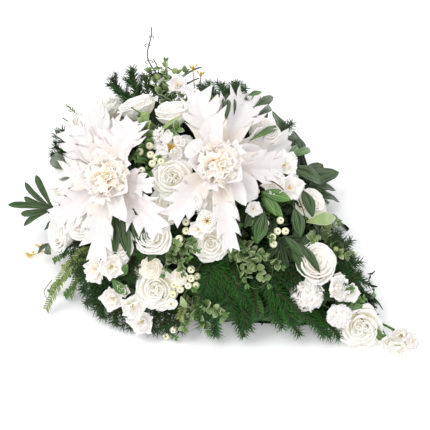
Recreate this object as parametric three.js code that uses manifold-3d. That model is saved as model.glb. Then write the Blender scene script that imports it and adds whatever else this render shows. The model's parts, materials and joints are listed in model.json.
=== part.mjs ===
// Teardrop funeral arrangement: a foam mound with a long tail, set with two very large white
// blooms, roses, small blossoms, berries, leaves and pine.
// Millimetres, +Z up, +X along the tail. The origin is on the floor under the middle of the mound.

import * as THREE from 'three';
import { mergeVertices } from 'three/addons/utils/BufferGeometryUtils.js';
import Module from 'manifold-3d';

const wasm = await Module();
wasm.setup();

// Driving dimensions: the outer shell on which the flower faces lie, and the foam inside it
const SHELL = { radius: 280, height: 322, reach: 500, tipHeight: 34 };
const FOAM = { radius: 205, height: 245, reach: 415, tipHeight: 30 };
const TAIL_END = 0.985; // share of the reach at which both mounds are cut off
const PLAN_POWERS = [1.5, 1.05]; // how the half width falls along the tail
const SLOPE_POWERS = [1.35, 1.25]; // how the height falls along the tail

// The viewpoint from which the places of the flowers are read, on a square grid of 430 steps
const VIEW = { turn: 34, rise: 45, distance: 2400, step: 2, middle: 215, originAt: [189, 236] };

const SEAT_GAP = 0.35; // between a stem and the wall of its hole
const CLEARANCE = 0.4; // kept between any two pieces
const FLOOR_CLEARANCE = 0.8; // under every piece but the foam
const STEM_DEPTH = 20; // of a stem in the foam
const HOLE_MARGIN = 14; // straight length of a stem outside the foam
const FORKED_RADIUS = 2.6; // of a stem that others join
const STALK_RADIUS = 1.1; // of a stalk that joins a stem
const SLIVER = 0.05; // widest sliver that is merged into its neighbours
const WALK_LIMIT = 400; // longest way from a flower to the foam
const STEM_FLOOR = 9; // lowest height of the end of a stem

// The search along a line of sight, from the viewpoint's distance
const SIGHT = { before: 650, beyond: 500, step: 3, lowest: 6 };

// A large bloom: its cup, its stem and the ring of short petals round the heart
const BLOOM = {
  raise: 26,
  facing: 0.55,
  cup: { top: 15, bottom: 5, height: 18, drop: 8, sides: 8 },
  stem: 4,
  neck: 9,
  petalThickness: 2.2,
  petalStart: 3,
  layerDrop: [10, 3],
  arch: [7, 17],
  short: { start: [11, -1], end: [54, 24], width: 34, arch: 3, curl: 4 },
};
const FINGER_HUB = 4.2; // radius of the hub of a fingered leaf
const STRAND = { steps: 13, thick: 1.6, thin: 0.7 }; // of the curly twig

const paints = {
  foam: ['#1f2c17', 0.95],
  petal: ['#f6f2f2', 0.75],
  heart: ['#f2dfc4', 0.8],
  rose: ['#efeee6', 0.7],
  blossom: ['#f3f1ea', 0.7],
  berry: ['#eeeac4', 0.45],
  leaf: ['#35572a', 0.45],
  eucalyptus: ['#8fab7c', 0.7],
  fern: ['#b3b97f', 0.75],
  pine: ['#1f561f', 0.6],
  paleTwig: ['#8a9a78', 0.8],
  budTwig: ['#d9a93a', 0.7],
};

const vec = (x, y, z) => new THREE.Vector3(x, y, z);
const radians = THREE.MathUtils.degToRad;
const mix = THREE.MathUtils.lerp;

// A repeatable series of numbers between 0 and 1
function dice(seed) {
  let state = seed * 2654435761 >>> 0;
  return () => {
    state = (Math.imul(state, 1664525) + 1013904223) >>> 0;
    return state / 4294967296;
  };
}

// Closed skins of points and triangles, and what becomes solid of them

class Skin {
  points = [];

  triangles = [];

  point(spot) {
    this.points.push(spot);
    return this.points.length - 1;
  }

  // A face of three or more corners, counterclockwise from outside
  face(...corners) {
    for (let i = 1; i < corners.length - 1; i += 1) {
      this.triangles.push(corners[0], corners[i], corners[i + 1]);
    }
  }

  geometry() {
    const shape = new THREE.BufferGeometry().setFromPoints(this.points);
    return shape.setIndex(this.triangles);
  }

  solid(matrix = new THREE.Matrix4()) {
    return toSolid(this.geometry().applyMatrix4(matrix));
  }

  moved(matrix) {
    const copy = new Skin();
    copy.points = this.points.map((spot) => spot.clone().applyMatrix4(matrix));
    copy.triangles = [...this.triangles];
    copy.pole = this.pole;
    return copy;
  }
}

function toSolid(geometry) {
  const bare = geometry.clone();
  bare.deleteAttribute('normal');
  bare.deleteAttribute('uv');
  const merged = mergeVertices(bare, 1e-4);
  const vertProperties = new Float32Array(merged.attributes.position.array);
  const triVerts = new Uint32Array(merged.index.array);
  return new wasm.Manifold(new wasm.Mesh({ numProp: 3, vertProperties, triVerts }));
}

// All solids joined, without what doesn't hold on to the largest body
function joined(solids) {
  const whole = wasm.Manifold.union(solids);
  const bodies = whole.decompose();
  bodies.sort((a, b) => b.volume() - a.volume());
  return bodies[0].simplify(SLIVER);
}

// The two mounds, shell and foam, share one rule for their form

function moundGap(p, mound) {
  const along = Math.min(Math.max(p.x / mound.reach, 0), TAIL_END);
  const half = mound.radius * (1 - along ** PLAN_POWERS[0]) ** PLAN_POWERS[1];
  const height = mound.height * (1 - along ** SLOPE_POWERS[0]) ** SLOPE_POWERS[1]
    + mound.tipHeight * along;
  const back = Math.min(p.x, 0) / mound.radius;
  const beyond = Math.max(p.x - mound.reach * TAIL_END, 0);
  const round = Math.sqrt(back ** 2 + (p.y / half) ** 2 + (Math.max(p.z, 0) / height) ** 2);
  return (round - 1) * Math.min(half, height) + beyond;
}

function moundNormal(p, mound) {
  const nudge = 3;
  const rise = (dx, dy, dz) => moundGap(vec(p.x + dx, p.y + dy, p.z + dz), mound)
    - moundGap(vec(p.x - dx, p.y - dy, p.z - dz), mound);
  return vec(rise(nudge, 0, 0), rise(0, nudge, 0), rise(0, 0, nudge)).normalize();
}

// The sight of the viewpoint

const turn = radians(VIEW.turn);
const rise = radians(VIEW.rise);
const toViewer = vec(
  Math.sin(turn) * Math.cos(rise),
  -Math.cos(turn) * Math.cos(rise),
  Math.sin(rise),
);
const viewRight = vec(Math.cos(turn), Math.sin(turn), 0);
const viewUp = toViewer.clone().cross(viewRight);
const sightScale = VIEW.step / VIEW.distance;
const eye = toViewer.clone().multiplyScalar(VIEW.distance)
  .addScaledVector(viewRight, (VIEW.middle - VIEW.originAt[0]) * VIEW.step)
  .addScaledVector(viewUp, (VIEW.originAt[1] - VIEW.middle) * VIEW.step);

function sight([across, down]) {
  return toViewer.clone().negate()
    .addScaledVector(viewRight, (across - VIEW.middle) * sightScale)
    .addScaledVector(viewUp, (VIEW.middle - down) * sightScale);
}

// Where the sight through a grid place meets the shell, or passes it nearest, lifted off it
function place(at, lift = 0) {
  const ray = sight(at);
  const nearest = VIEW.distance - SIGHT.before;
  const farthest = VIEW.distance + SIGHT.beyond;
  let best = null;
  for (let t = nearest; t < farthest; t += SIGHT.step) {
    const point = eye.clone().addScaledVector(ray, t);
    if (point.z < SIGHT.lowest) {
      break;
    }
    const gap = moundGap(point, SHELL);
    if (!best || gap < best.gap) {
      best = { point, gap };
    }
    if (gap <= 0) {
      break;
    }
  }
  const normal = moundNormal(best.point, SHELL);
  const point = best.point.addScaledVector(ray.clone().normalize(), -lift);
  return { point, normal };
}

// The same for the far side, which the viewpoint doesn't show: a plan direction and a height
function placeBehind({ bearing, height }, lift = 0) {
  const out = vec(Math.cos(radians(bearing)), Math.sin(radians(bearing)), 0);
  const point = vec(0, 0, height);
  while (moundGap(point, SHELL) < 0) {
    point.addScaledVector(out, 2);
  }
  const normal = moundNormal(point, SHELL);
  return { point: point.addScaledVector(normal, lift), normal };
}

function spotOf(spec, lift = spec.lift ?? 0) {
  return spec.at ? place(spec.at, lift) : placeBehind(spec.behind, lift);
}

// A turned frame with its z axis along the given one
function frameAt(point, axis, spin = 0) {
  const x = viewRight.clone().addScaledVector(axis, -viewRight.dot(axis)).normalize();
  x.applyAxisAngle(axis, radians(spin));
  const y = axis.clone().cross(x);
  return new THREE.Matrix4().makeBasis(x, y, axis).setPosition(point);
}

// Placed pieces, and the test that a new one keeps clear of them

const placed = [];
const holes = [];

function boxesNear(a, b, gap) {
  return [0, 1, 2].every((k) => a.min[k] < b.max[k] + gap && b.min[k] < a.max[k] + gap);
}

function isClear(solid, gap = CLEARANCE, others = placed) {
  const box = solid.boundingBox();
  if (box.min[2] < FLOOR_CLEARANCE) {
    return false;
  }
  return others.every((other) => !boxesNear(box, other.box, gap)
    || other.solid.minGap(solid, gap * 2) > gap);
}

function crowded(what) {
  throw new Error(`No clear place for ${what}`);
}

const group = new THREE.Group();

function addPiece(name, solid, paint) {
  const mesh = solid.getMesh();
  const stride = mesh.numProp;
  const spots = [];
  for (let i = 0; i < mesh.vertProperties.length; i += stride) {
    spots.push(vec(...mesh.vertProperties.slice(i, i + 3)));
  }
  const box = solid.boundingBox();
  const middle = vec(...box.min).add(vec(...box.max)).multiplyScalar(0.5).round();
  const shape = new THREE.BufferGeometry().setFromPoints(spots);
  shape.setIndex([...mesh.triVerts]);
  shape.translate(-middle.x, -middle.y, -middle.z);
  shape.computeVertexNormals();
  const [color, roughness] = paints[paint];
  const material = new THREE.MeshStandardMaterial({ color, roughness, metalness: 0 });
  const piece = new THREE.Mesh(shape, material);
  piece.name = name;
  piece.position.copy(middle);
  group.add(piece);
  placed.push({ name, solid, box });
}

// Stalks with needles or leaflets that grow from their faces

// Joins a triangle of a skin to rings of three points each and a tip
function grow(skin, corners, rings, tip) {
  const shift = rings.length ? leastTwist(corners.map((id) => skin.points[id]), rings[0]) : 0;
  let from = corners;
  rings.forEach((ring) => {
    const ids = ring.map((_, i) => skin.point(ring[(i + shift) % 3]));
    for (let i = 0; i < 3; i += 1) {
      const next = (i + 1) % 3;
      skin.face(from[i], from[next], ids[next], ids[i]);
    }
    from = ids;
  });
  const top = skin.point(tip);
  for (let i = 0; i < 3; i += 1) {
    skin.face(from[i], from[(i + 1) % 3], top);
  }
}

function centreOf(spots) {
  const sum = vec(0, 0, 0);
  spots.forEach((spot) => sum.add(spot));
  return sum.multiplyScalar(1 / spots.length);
}

// The turn of a ring that faces the corners of a triangle with the least twist
function leastTwist(corners, ring) {
  const a = centreOf(corners);
  const b = centreOf(ring);
  let best = null;
  for (let shift = 0; shift < 3; shift += 1) {
    let off = 0;
    corners.forEach((corner, i) => {
      const p = corner.clone().sub(a).normalize();
      off += p.distanceTo(ring[(i + shift) % 3].clone().sub(b).normalize());
    });
    if (!best || off < best.off) {
      best = { off, shift };
    }
  }
  return best.shift;
}

// A growth alone, as a solid for the clearance test
function growthSolid(corners, rings, tip) {
  const skin = new Skin();
  const ids = corners.map((spot) => skin.point(spot));
  skin.face(ids[2], ids[1], ids[0]);
  grow(skin, ids, rings, tip);
  return skin.solid();
}

// The rings and the tip of a leaflet. Its keel hangs under the two rims
function leafletRings(root, leaflet) {
  const { way, up, length, width, round = 0.5 } = leaflet;
  const keel = Math.max(0.9, width * 0.12);
  const side = way.clone().cross(up).normalize();
  const over = side.clone().cross(way).normalize();
  const ringAt = (share, half, depth, droop) => {
    const middle = root.clone().addScaledVector(way, length * share)
      .addScaledVector(over, -droop * length);
    return [
      middle.clone().addScaledVector(side, -half).addScaledVector(over, depth * 0.4),
      middle.clone().addScaledVector(side, half).addScaledVector(over, depth * 0.4),
      middle.clone().addScaledVector(over, -depth * 0.6),
    ];
  };
  const first = mix(0.5, 0.34, round);
  const rings = [ringAt(first, width / 2, keel * 1.6, 0.02)];
  if (round > 0.3) {
    rings.push(ringAt(0.76, width * mix(0.24, 0.4, round), keel * 1.3, 0.06));
  }
  const tip = root.clone().addScaledVector(way, length).addScaledVector(over, -0.14 * length);
  return { rings, tip };
}

// A tube along a path, each growth on one triangle of it
function stalk(path, radii, { sides = 4, growths = [], twist = 0, first } = {}) {
  const skin = new Skin();
  const frames = pathFrames(path, first);
  const rings = path.map((spot, i) => {
    const ids = [];
    for (let j = 0; j < sides; j += 1) {
      const angle = (j / sides) * Math.PI * 2 + twist * i;
      ids.push(skin.point(spot.clone()
        .addScaledVector(frames[i].side, Math.cos(angle) * radii[i])
        .addScaledVector(frames[i].up, Math.sin(angle) * radii[i])));
    }
    return ids;
  });
  skin.face(...[...rings[0]].reverse());
  skin.face(...rings[rings.length - 1]);
  for (let i = 0; i < path.length - 1; i += 1) {
    for (let j = 0; j < sides; j += 1) {
      const next = (j + 1) % sides;
      const halves = [
        [rings[i][j], rings[i][next], rings[i + 1][next]],
        [rings[i][j], rings[i + 1][next], rings[i + 1][j]],
      ];
      halves.forEach((corners, half) => {
        const growth = growths.find((g) => g.level === i && g.side === j && g.half === half);
        const shape = growth && growth.make(corners.map((id) => skin.points[id].clone()), frames[i]);
        if (shape) {
          grow(skin, corners, shape.rings, shape.tip);
        } else {
          skin.face(...corners);
        }
      });
    }
  }
  return skin.solid();
}

// A head whose lower pole is drawn out into a stem along a path that starts there
function stemmed(head, axis, path, radii, sides) {
  const skin = new Skin();
  skin.points = [...head.points];
  const frames = pathFrames(path, axis.clone().negate());
  const middle = path[0];
  const angleOf = (spot) => {
    const out = spot.clone().sub(middle);
    const angle = Math.atan2(out.dot(frames[0].up), out.dot(frames[0].side));
    return (angle / (Math.PI * 2) + 1) % 1;
  };
  const rings = path.map((spot, i) => {
    const ids = [];
    for (let j = 0; j < sides; j += 1) {
      const angle = (j / sides) * Math.PI * 2;
      ids.push(skin.point(spot.clone()
        .addScaledVector(frames[i].side, Math.cos(angle) * radii[i])
        .addScaledVector(frames[i].up, Math.sin(angle) * radii[i])));
    }
    return ids;
  });
  const nearest = (id) => Math.round(angleOf(head.points[id]) * sides) % sides;
  for (let t = 0; t < head.triangles.length; t += 3) {
    const corners = head.triangles.slice(t, t + 3);
    const at = corners.indexOf(head.pole);
    if (at < 0) {
      skin.triangles.push(...corners);
      continue;
    }
    const u = corners[(at + 1) % 3];
    const v = corners[(at + 2) % 3];
    let ring = nearest(u);
    skin.face(rings[0][ring], u, v);
    while (ring !== nearest(v)) {
      const next = (ring + 1) % sides;
      skin.face(rings[0][ring], v, rings[0][next]);
      ring = next;
    }
  }
  for (let i = 0; i < path.length - 1; i += 1) {
    for (let j = 0; j < sides; j += 1) {
      const next = (j + 1) % sides;
      skin.face(rings[i][j], rings[i][next], rings[i + 1][next], rings[i + 1][j]);
    }
  }
  skin.face(...rings[path.length - 1]);
  return skin.solid();
}

function pathFrames(path, first) {
  const frames = [];
  let up = null;
  path.forEach((spot, i) => {
    const before = path[Math.max(i - 1, 0)];
    const after = path[Math.min(i + 1, path.length - 1)];
    const along = i === 0 && first ? first : after.clone().sub(before).normalize();
    if (!up) {
      up = Math.abs(along.z) < 0.9 ? vec(0, 0, 1) : vec(1, 0, 0);
    }
    up = up.clone().addScaledVector(along, -up.dot(along)).normalize();
    frames.push({ along, up, side: up.clone().cross(along).normalize() });
  });
  return frames;
}

function bend(from, lean, to, share = 0.45) {
  const reach = from.distanceTo(to) * share;
  const middle = from.clone().addScaledVector(lean, reach);
  return new THREE.QuadraticBezierCurve3(from, middle, to);
}

// Stems in the foam

// Where a stem that doesn't meet the foam on its own axis is led to
function heartOfFoam(point) {
  if (point.x > FOAM.reach) {
    return vec(FOAM.reach - 60, 0, 14);
  }
  return vec(Math.max(point.x * 0.75, -40), 0, Math.max(point.z * 0.6, 42));
}

// The straight part of a stem: from its mouth in the foam to its end, along an axis
function rootBelow(point, axis) {
  const inward = axis.clone().negate();
  const start = point.clone();
  let walked = 0;
  while (moundGap(start, FOAM) > 0 && walked < WALK_LIMIT && start.z > STEM_FLOOR + 1) {
    start.addScaledVector(inward, 1);
    walked += 1;
  }
  const end = start.clone().addScaledVector(inward, STEM_DEPTH);
  if (moundGap(start, FOAM) > 0 || end.z < STEM_FLOOR) {
    const other = point.clone().sub(heartOfFoam(point)).normalize();
    if (other.distanceTo(axis) > 1e-3) {
      return rootBelow(point, other);
    }
  }
  return { mouth: start, end, axis: axis.clone() };
}

function rodBetween(from, to, radius, sides) {
  const length = from.distanceTo(to);
  const shape = new THREE.CylinderGeometry(radius, radius, length, sides, 1);
  shape.translate(0, length / 2, 0);
  const way = to.clone().sub(from).normalize();
  const turned = new THREE.Quaternion().setFromUnitVectors(vec(0, 1, 0), way);
  shape.applyQuaternion(turned);
  shape.translate(from.x, from.y, from.z);
  return toSolid(shape);
}

// The hole has the sides of the stem, so it follows the path from which the stem is made
function drill(path, radius, sides = 3, first = undefined) {
  const wide = radius + SEAT_GAP / Math.cos(Math.PI / sides);
  const longer = [...path];
  const last = path[path.length - 1];
  const onward = last.clone().sub(path[path.length - 2]).normalize();
  longer[path.length - 1] = last.clone().addScaledVector(onward, SEAT_GAP);
  holes.push(stalk(longer, longer.map(() => wide), { sides, first }));
}

function straightRod(from, to, radius, sides = 3) {
  return stalk([from, to], [radius, radius], { sides });
}

// The foam mound, before its holes

function foamMound() {
  const columns = 20;
  const levels = [0, 0.36, 0.68, 0.91];
  const skin = new Skin();
  const reachAt = (bearing, z) => {
    let near = 0;
    let far = 700;
    for (let i = 0; i < 40; i += 1) {
      const middle = (near + far) / 2;
      const p = vec(Math.cos(bearing) * middle, Math.sin(bearing) * middle, z);
      if (moundGap(p, FOAM) < 0) {
        near = middle;
      } else {
        far = middle;
      }
    }
    return near;
  };
  const rings = levels.map((level) => {
    const z = level * FOAM.height;
    const ids = [];
    for (let i = 0; i < columns; i += 1) {
      const share = (i / columns) * 2 - 1;
      const bearing = Math.PI * share * Math.abs(share) ** 0.5;
      const reach = reachAt(bearing, z);
      ids.push(skin.point(vec(Math.cos(bearing) * reach, Math.sin(bearing) * reach, z)));
    }
    return ids;
  });
  const bottom = skin.point(vec(0, 0, 0));
  const top = skin.point(vec(0, 0, FOAM.height));
  for (let i = 0; i < columns; i += 1) {
    const next = (i + 1) % columns;
    skin.face(bottom, rings[0][next], rings[0][i]);
    for (let k = 0; k < levels.length - 1; k += 1) {
      skin.face(rings[k][i], rings[k][next], rings[k + 1][next], rings[k + 1][i]);
    }
    skin.face(rings[levels.length - 1][i], rings[levels.length - 1][next], top);
  }
  return skin.solid();
}

// Petals as thin folded blades, thickest along the midrib

// Rows run from the root to the tip: how far along, the height, both half widths, the lead of
// the rims over the midrib and their rise
function blade(rows, reach, tipHeight, thick, matrix) {
  const skin = new Skin();
  const root = skin.point(vec(0, 0, 0));
  const lines = rows.map(({ x, z, left, right, lead, raise }) => [
    skin.point(vec(x + lead, left, z + raise)),
    skin.point(vec(x, 0, z + thick / 2)),
    skin.point(vec(x + lead, -right, z + raise)),
    skin.point(vec(x, 0, z - thick / 2)),
  ]);
  const tip = skin.point(vec(reach, 0, tipHeight));
  const sides = [[0, 1], [1, 2], [2, 3], [3, 0]];
  sides.forEach(([from, to]) => {
    skin.face(root, lines[0][to], lines[0][from]);
    for (let i = 0; i < lines.length - 1; i += 1) {
      skin.face(lines[i][from], lines[i][to], lines[i + 1][to], lines[i + 1][from]);
    }
    const last = lines[lines.length - 1];
    skin.face(last[from], last[to], tip);
  });
  return skin.solid(matrix);
}

// The frame of a blade: x from one point to another, z as near as it goes to the given way
function bladeFrame(from, to, over) {
  const x = to.clone().sub(from).normalize();
  const z = over.clone().addScaledVector(x, -over.dot(x)).normalize();
  const y = z.clone().cross(x);
  return new THREE.Matrix4().makeBasis(x, y, z).setPosition(from);
}

// Flower heads, each around its own z axis

// A closed body of rings around the axis: rows of [radius, height] by column, with end points
function ringed(rings, bottom, top, columns, stagger = 0) {
  const skin = new Skin();
  const low = skin.point(vec(0, 0, bottom));
  const high = skin.point(vec(0, 0, top));
  const ids = rings.map((ring, k) => {
    const row = [];
    for (let c = 0; c < columns; c += 1) {
      const [radius, height] = ring(c);
      const angle = ((c + k * stagger) / columns) * Math.PI * 2;
      row.push(skin.point(vec(Math.cos(angle) * radius, Math.sin(angle) * radius, height)));
    }
    return row;
  });
  skin.pole = low;
  for (let c = 0; c < columns; c += 1) {
    const next = (c + 1) % columns;
    skin.face(low, ids[0][next], ids[0][c]);
    for (let k = 0; k < ids.length - 1; k += 1) {
      skin.face(ids[k][c], ids[k][next], ids[k + 1][next], ids[k + 1][c]);
    }
    skin.face(ids[ids.length - 1][c], ids[ids.length - 1][next], high);
  }
  return skin;
}

// A rose: petal layers as ridges with deep folds between them, each layer of three or five
function roseHead(size, seed, layerCount = 4) {
  const random = dice(seed);
  const columns = 9;
  const wave = (petals, offset) => {
    const span = columns / petals;
    return (c) => Math.sin((((c + offset) % span) / span) * Math.PI);
  };
  const layers = [
    { rim: 1.03, height: 0.02, drop: 0.3, petals: 3, ruffle: 0.14 },
    { rim: 0.78, height: 0.27, drop: 0.26, petals: 3, ruffle: 0.11 },
    { rim: 0.53, height: 0.38, drop: 0.24, petals: 3, ruffle: 0.1 },
    { rim: 0.3, height: 0.42, drop: 0.2, petals: 3, ruffle: 0.08 },
  ].slice(0, layerCount);
  const rims = layers.map((layer, k) => {
    const shape = wave(layer.petals, k * 2 + Math.floor(random() * 3));
    return (c) => {
      const high = shape(c);
      return [
        size * (layer.rim - layer.ruffle * (1 - high)),
        size * (layer.height + 0.08 * (high - 0.5) + 0.03 * (random() - 0.5)),
      ];
    };
  });
  const rings = [() => [size * 0.78, size * -0.4]];
  rims.forEach((rim, k) => {
    rings.push(rim);
    const inner = rims[k + 1];
    if (inner) {
      rings.push((c) => [
        inner(c)[0] + size * 0.05,
        size * (layers[k + 1].height - layers[k].drop - 0.08),
      ]);
    }
  });
  return ringed(rings, size * -0.76, size * 0.24, columns);
}

// A ruffled dome of crimped petals
function ruffledHead(size, seed, columns = 10) {
  const random = dice(seed);
  const crimp = (radius, height, depth) => (c) => {
    const out = c % 2 ? 1 : -1;
    const stray = 0.6 + 0.8 * random();
    return [size * (radius + depth * out * stray), size * (height + depth * 0.9 * out * stray)];
  };
  const rings = [
    crimp(0.94, -0.05, 0.07),
    crimp(0.74, 0.1, 0.05),
    crimp(0.66, 0.42, 0.07),
    crimp(0.44, 0.34, 0.05),
    crimp(0.28, 0.62, 0.06),
  ];
  return ringed(rings, size * -0.45, size * 0.4, columns);
}

// A small open flower with rounded petals and a thin rim
function floret(size, petals = 5, cup = 0.3) {
  const skin = new Skin();
  const thick = Math.max(size * 0.09, 1);
  const spot = (angle, radius, z) => vec(
    Math.cos(angle) * radius * size,
    Math.sin(angle) * radius * size,
    z * size,
  );
  const span = (Math.PI * 2) / petals;
  const high = skin.point(vec(0, 0, size * 0.08));
  const low = skin.point(vec(0, 0, size * -0.3));
  skin.pole = low;
  const notches = [];
  for (let i = 0; i < petals; i += 1) {
    notches.push(skin.point(spot(i * span, 0.3, 0)));
  }
  for (let i = 0; i < petals; i += 1) {
    const middle = (i + 0.5) * span;
    const from = notches[i];
    const to = notches[(i + 1) % petals];
    const left = skin.point(spot(middle - span * 0.3, 0.92, cup * 0.9));
    const right = skin.point(spot(middle + span * 0.3, 0.92, cup * 0.9));
    const fold = skin.point(spot(middle, 0.62, cup * 0.3));
    const under = skin.point(spot(middle, 0.62, cup * 0.3).setZ(size * cup * 0.3 - thick * 1.4));
    const rim = [from, left, right, to];
    skin.face(high, from, fold);
    skin.face(high, fold, to);
    skin.face(low, under, from);
    skin.face(low, to, under);
    for (let k = 0; k < 3; k += 1) {
      skin.face(fold, rim[k], rim[k + 1]);
      skin.face(under, rim[k + 1], rim[k]);
    }
  }
  return skin;
}

// A closed bud: a pointed bead with five ribs
function budHead(size) {
  const rib = (radius, height) => (c) => [size * radius * (c % 2 ? 0.9 : 1.05), size * height];
  return ringed([rib(0.45, -0.7), rib(0.85, -0.15), rib(0.62, 0.5)], size * -0.9, size * 0.78, 8);
}

// A round berry of sixteen faces
function berryHead(size) {
  const tilt = Math.atan(0.5);
  const ring = (sign) => () => [size * Math.cos(tilt), sign * size * Math.sin(tilt)];
  return ringed([ring(-1), ring(1)], -size, size, 4, 0.5);
}

const headKinds = {
  rose: { make: (h) => roseHead(h.size, h.seed, h.layers), stem: 2.6, face: 0.4 },
  ruffle: { make: (h) => ruffledHead(h.size, h.seed ?? 1), stem: 1.8, face: 0.5 },
  floret: { make: (h) => floret(h.size, h.petals ?? 5, h.cup ?? 0.3), stem: 1.3, face: 0.2 },
  bud: { make: (h) => budHead(h.size), stem: 1.3, face: 0.6 },
  berry: { make: (h) => berryHead(h.size), stem: 1, face: 0.8 },
};

// Shifts toward and away from the viewer that are tried in turn
const shifts = [0, -5, 5, -10, 10, -16, 16, -22, -28, -34, 22, -40, -46, -52, -58, 30, 38];

// One head, moved along the line of sight until it is clear of the rest
function seatHead(spec, siblings = []) {
  const kind = headKinds[spec.kind];
  const local = kind.make(spec);
  for (const shift of shifts) {
    const spot = spotOf(spec, (spec.lift ?? 0) + shift);
    const share = spec.behind ? 0 : spec.face ?? 0.5;
    const axis = spot.normal.clone().multiplyScalar(1 - share)
      .addScaledVector(toViewer, share).normalize();
    const centre = spot.point.clone().addScaledVector(axis, -kind.face * spec.size);
    const skin = local.moved(frameAt(centre, axis, spec.spin ?? 0));
    const solid = skin.solid();
    const neck = skin.points[skin.pole].clone();
    if (siblings.every((other) => other.minGap(solid, 1) > 0.2) && isClear(solid)) {
      return { skin, solid, neck, axis, stem: kind.stem };
    }
  }
  return crowded(`head ${JSON.stringify(spec.at ?? spec.behind)}`);
}

const stray = (random, size) => vec(random() - 0.5, random() - 0.5, random() - 0.5)
  .multiplyScalar(size);

// A head with its stem into its own hole in the foam
function rootedHead(head, radius) {
  const random = dice(Math.round(head.neck.x + head.neck.z * 3));
  const others = placed.filter((other) => other.name !== 'foam_mound');
  for (let attempt = 0; attempt < 30; attempt += 1) {
    const lean = head.axis.clone().add(stray(random, attempt * 0.06)).normalize();
    const root = rootBelow(head.neck, lean);
    const path = [head.neck, root.end];
    if (isClear(straightRod(...path, radius), CLEARANCE, others)) {
      drill(path, radius, 3, head.axis.clone().negate());
      return { solid: stemmed(head.skin, head.axis, path, [radius, radius], 3), root };
    }
  }
  return crowded(`stem of the head at ${head.neck.toArray().map(Math.round)}`);
}

// A head with a thin stalk to a joint on a stem, tried along the stem until it is clear
function jointedHead(head, { mouth, axis }, free, share) {
  for (let attempt = 0; attempt < 24; attempt += 1) {
    const step = Math.ceil(attempt / 2) * (attempt % 2 ? 0.04 : -0.04);
    const joint = mouth.clone().addScaledVector(axis, Math.max(free * (share + step), 4));
    const path = [head.neck, joint];
    const radii = path.map(() => Math.min(head.stem, STALK_RADIUS));
    const bare = stalk(path, radii, { sides: 3 });
    if (isClear(bare)) {
      return stemmed(head.skin, head.axis, path, radii, 3);
    }
  }
  return crowded(`stalk of the head at ${head.neck.toArray().map(Math.round)}`);
}

// Heads on one forked stem: the first stands over its own hole, the rest join its stem
function flowerStem(name, paint, heads) {
  const first = seatHead(heads[0]);
  const { solid, root } = rootedHead(first, heads.length > 1 ? FORKED_RADIUS : first.stem);
  const parts = [solid];
  const seats = [first.solid];
  const free = root.mouth.distanceTo(first.neck);
  heads.slice(1).forEach((spec, i) => {
    const head = seatHead(spec, seats);
    seats.push(head.solid);
    const share = mix(0.25, 0.8, i / Math.max(heads.length - 2, 1));
    parts.push(jointedHead(head, root, free, share));
  });
  addPiece(name, joined(parts), paint);
}

// A bloom: long toothed petals drawn down over the mound, a ring of short ones, and its heart
const toothedRows = [
  [0.2, 0.46, 0, 0.01], [0.36, 0.96, 0.07, 0.07], [0.44, 0.62, 0, 0.05],
  [0.58, 1, 0.08, 0.1], [0.66, 0.55, 0, 0.06], [0.78, 0.66, 0.09, 0.1], [0.87, 0.26, 0, 0.05],
];
const smoothRows = [[0.35, 0.75, 0, 0.06], [0.72, 0.9, 0, 0.14]];

function petal(from, to, over, { width, rows, arch, thick, seed, curl = 0 }) {
  const length = from.distanceTo(to);
  const random = dice(seed);
  const shape = rows.map(([share, half, lead, raise]) => ({
    x: share * length,
    z: arch * Math.sin(Math.PI * share) + curl * share * share,
    left: Math.max(half * (0.85 + 0.3 * random()) * width / 2, 1),
    right: Math.max(half * (0.85 + 0.3 * random()) * width / 2, 1),
    lead: lead * length,
    raise: raise * width,
  }));
  return blade(shape, length, curl, thick, bladeFrame(from, to, over));
}

function bloom(name, spec) {
  const spot = place(spec.at, BLOOM.raise);
  const axis = spot.normal.clone().lerp(toViewer, BLOOM.facing).normalize();
  const centre = spot.point;
  const raised = (height) => centre.clone().addScaledVector(axis, height);
  const parts = [];
  const { top, bottom, height: tall, drop, sides } = BLOOM.cup;
  const cup = new THREE.CylinderGeometry(top, bottom, tall, sides, 1);
  cup.rotateX(Math.PI / 2).translate(0, 0, -drop);
  parts.push(toSolid(cup.applyMatrix4(frameAt(centre, axis))));
  const thick = BLOOM.petalThickness;
  spec.petals.forEach(({ tip, width, smooth }, i) => {
    const end = place(tip, spec.petalLift).point;
    const out = end.clone().sub(centre);
    out.addScaledVector(axis, -out.dot(axis)).normalize();
    const start = raised(-BLOOM.layerDrop[i % 2]).addScaledVector(out, BLOOM.petalStart);
    const rows = smooth ? smoothRows : toothedRows;
    const arch = BLOOM.arch[i % 2];
    parts.push(petal(start, end, axis, { width, rows, arch, thick, seed: i * 3 + 1 }));
  });
  for (let i = 0; i < spec.short; i += 1) {
    const angle = ((i + 0.5) / spec.short) * Math.PI * 2;
    const frame = frameAt(centre, axis, THREE.MathUtils.radToDeg(angle));
    const { start, end, width, arch, curl } = BLOOM.short;
    const inner = vec(start[0], 0, start[1]).applyMatrix4(frame);
    const outer = vec(end[0], 0, end[1]).applyMatrix4(frame);
    const shape = { width, rows: smoothRows, arch, thick, seed: i + 20, curl };
    parts.push(petal(inner, outer, axis, shape));
  }
  const root = rootBelow(raised(-12), axis);
  const neck = raised(-8);
  drill([neck, root.end], BLOOM.stem, 6);
  parts.push(straightRod(neck, root.end, BLOOM.stem, 6));
  const socket = rodBetween(raised(-BLOOM.neck), raised(90), BLOOM.stem + SEAT_GAP, sides);
  const body = joined(parts).subtract(socket);
  addPiece(`${name}_petals`, body, 'petal');
  const head = ruffledHead(spec.heart, 5, 14).solid();
  for (let raise = 8; raise < 60; raise += 1) {
    const seat = raised(raise);
    const dome = head.transform([...frameAt(seat, axis).elements]);
    if (isClear(dome)) {
      const peg = rodBetween(raised(SEAT_GAP - BLOOM.neck), seat, BLOOM.stem, sides);
      addPiece(`${name}_heart`, joined([dome, peg]), 'heart');
      return;
    }
  }
  crowded(`${name} heart`);
}

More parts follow.
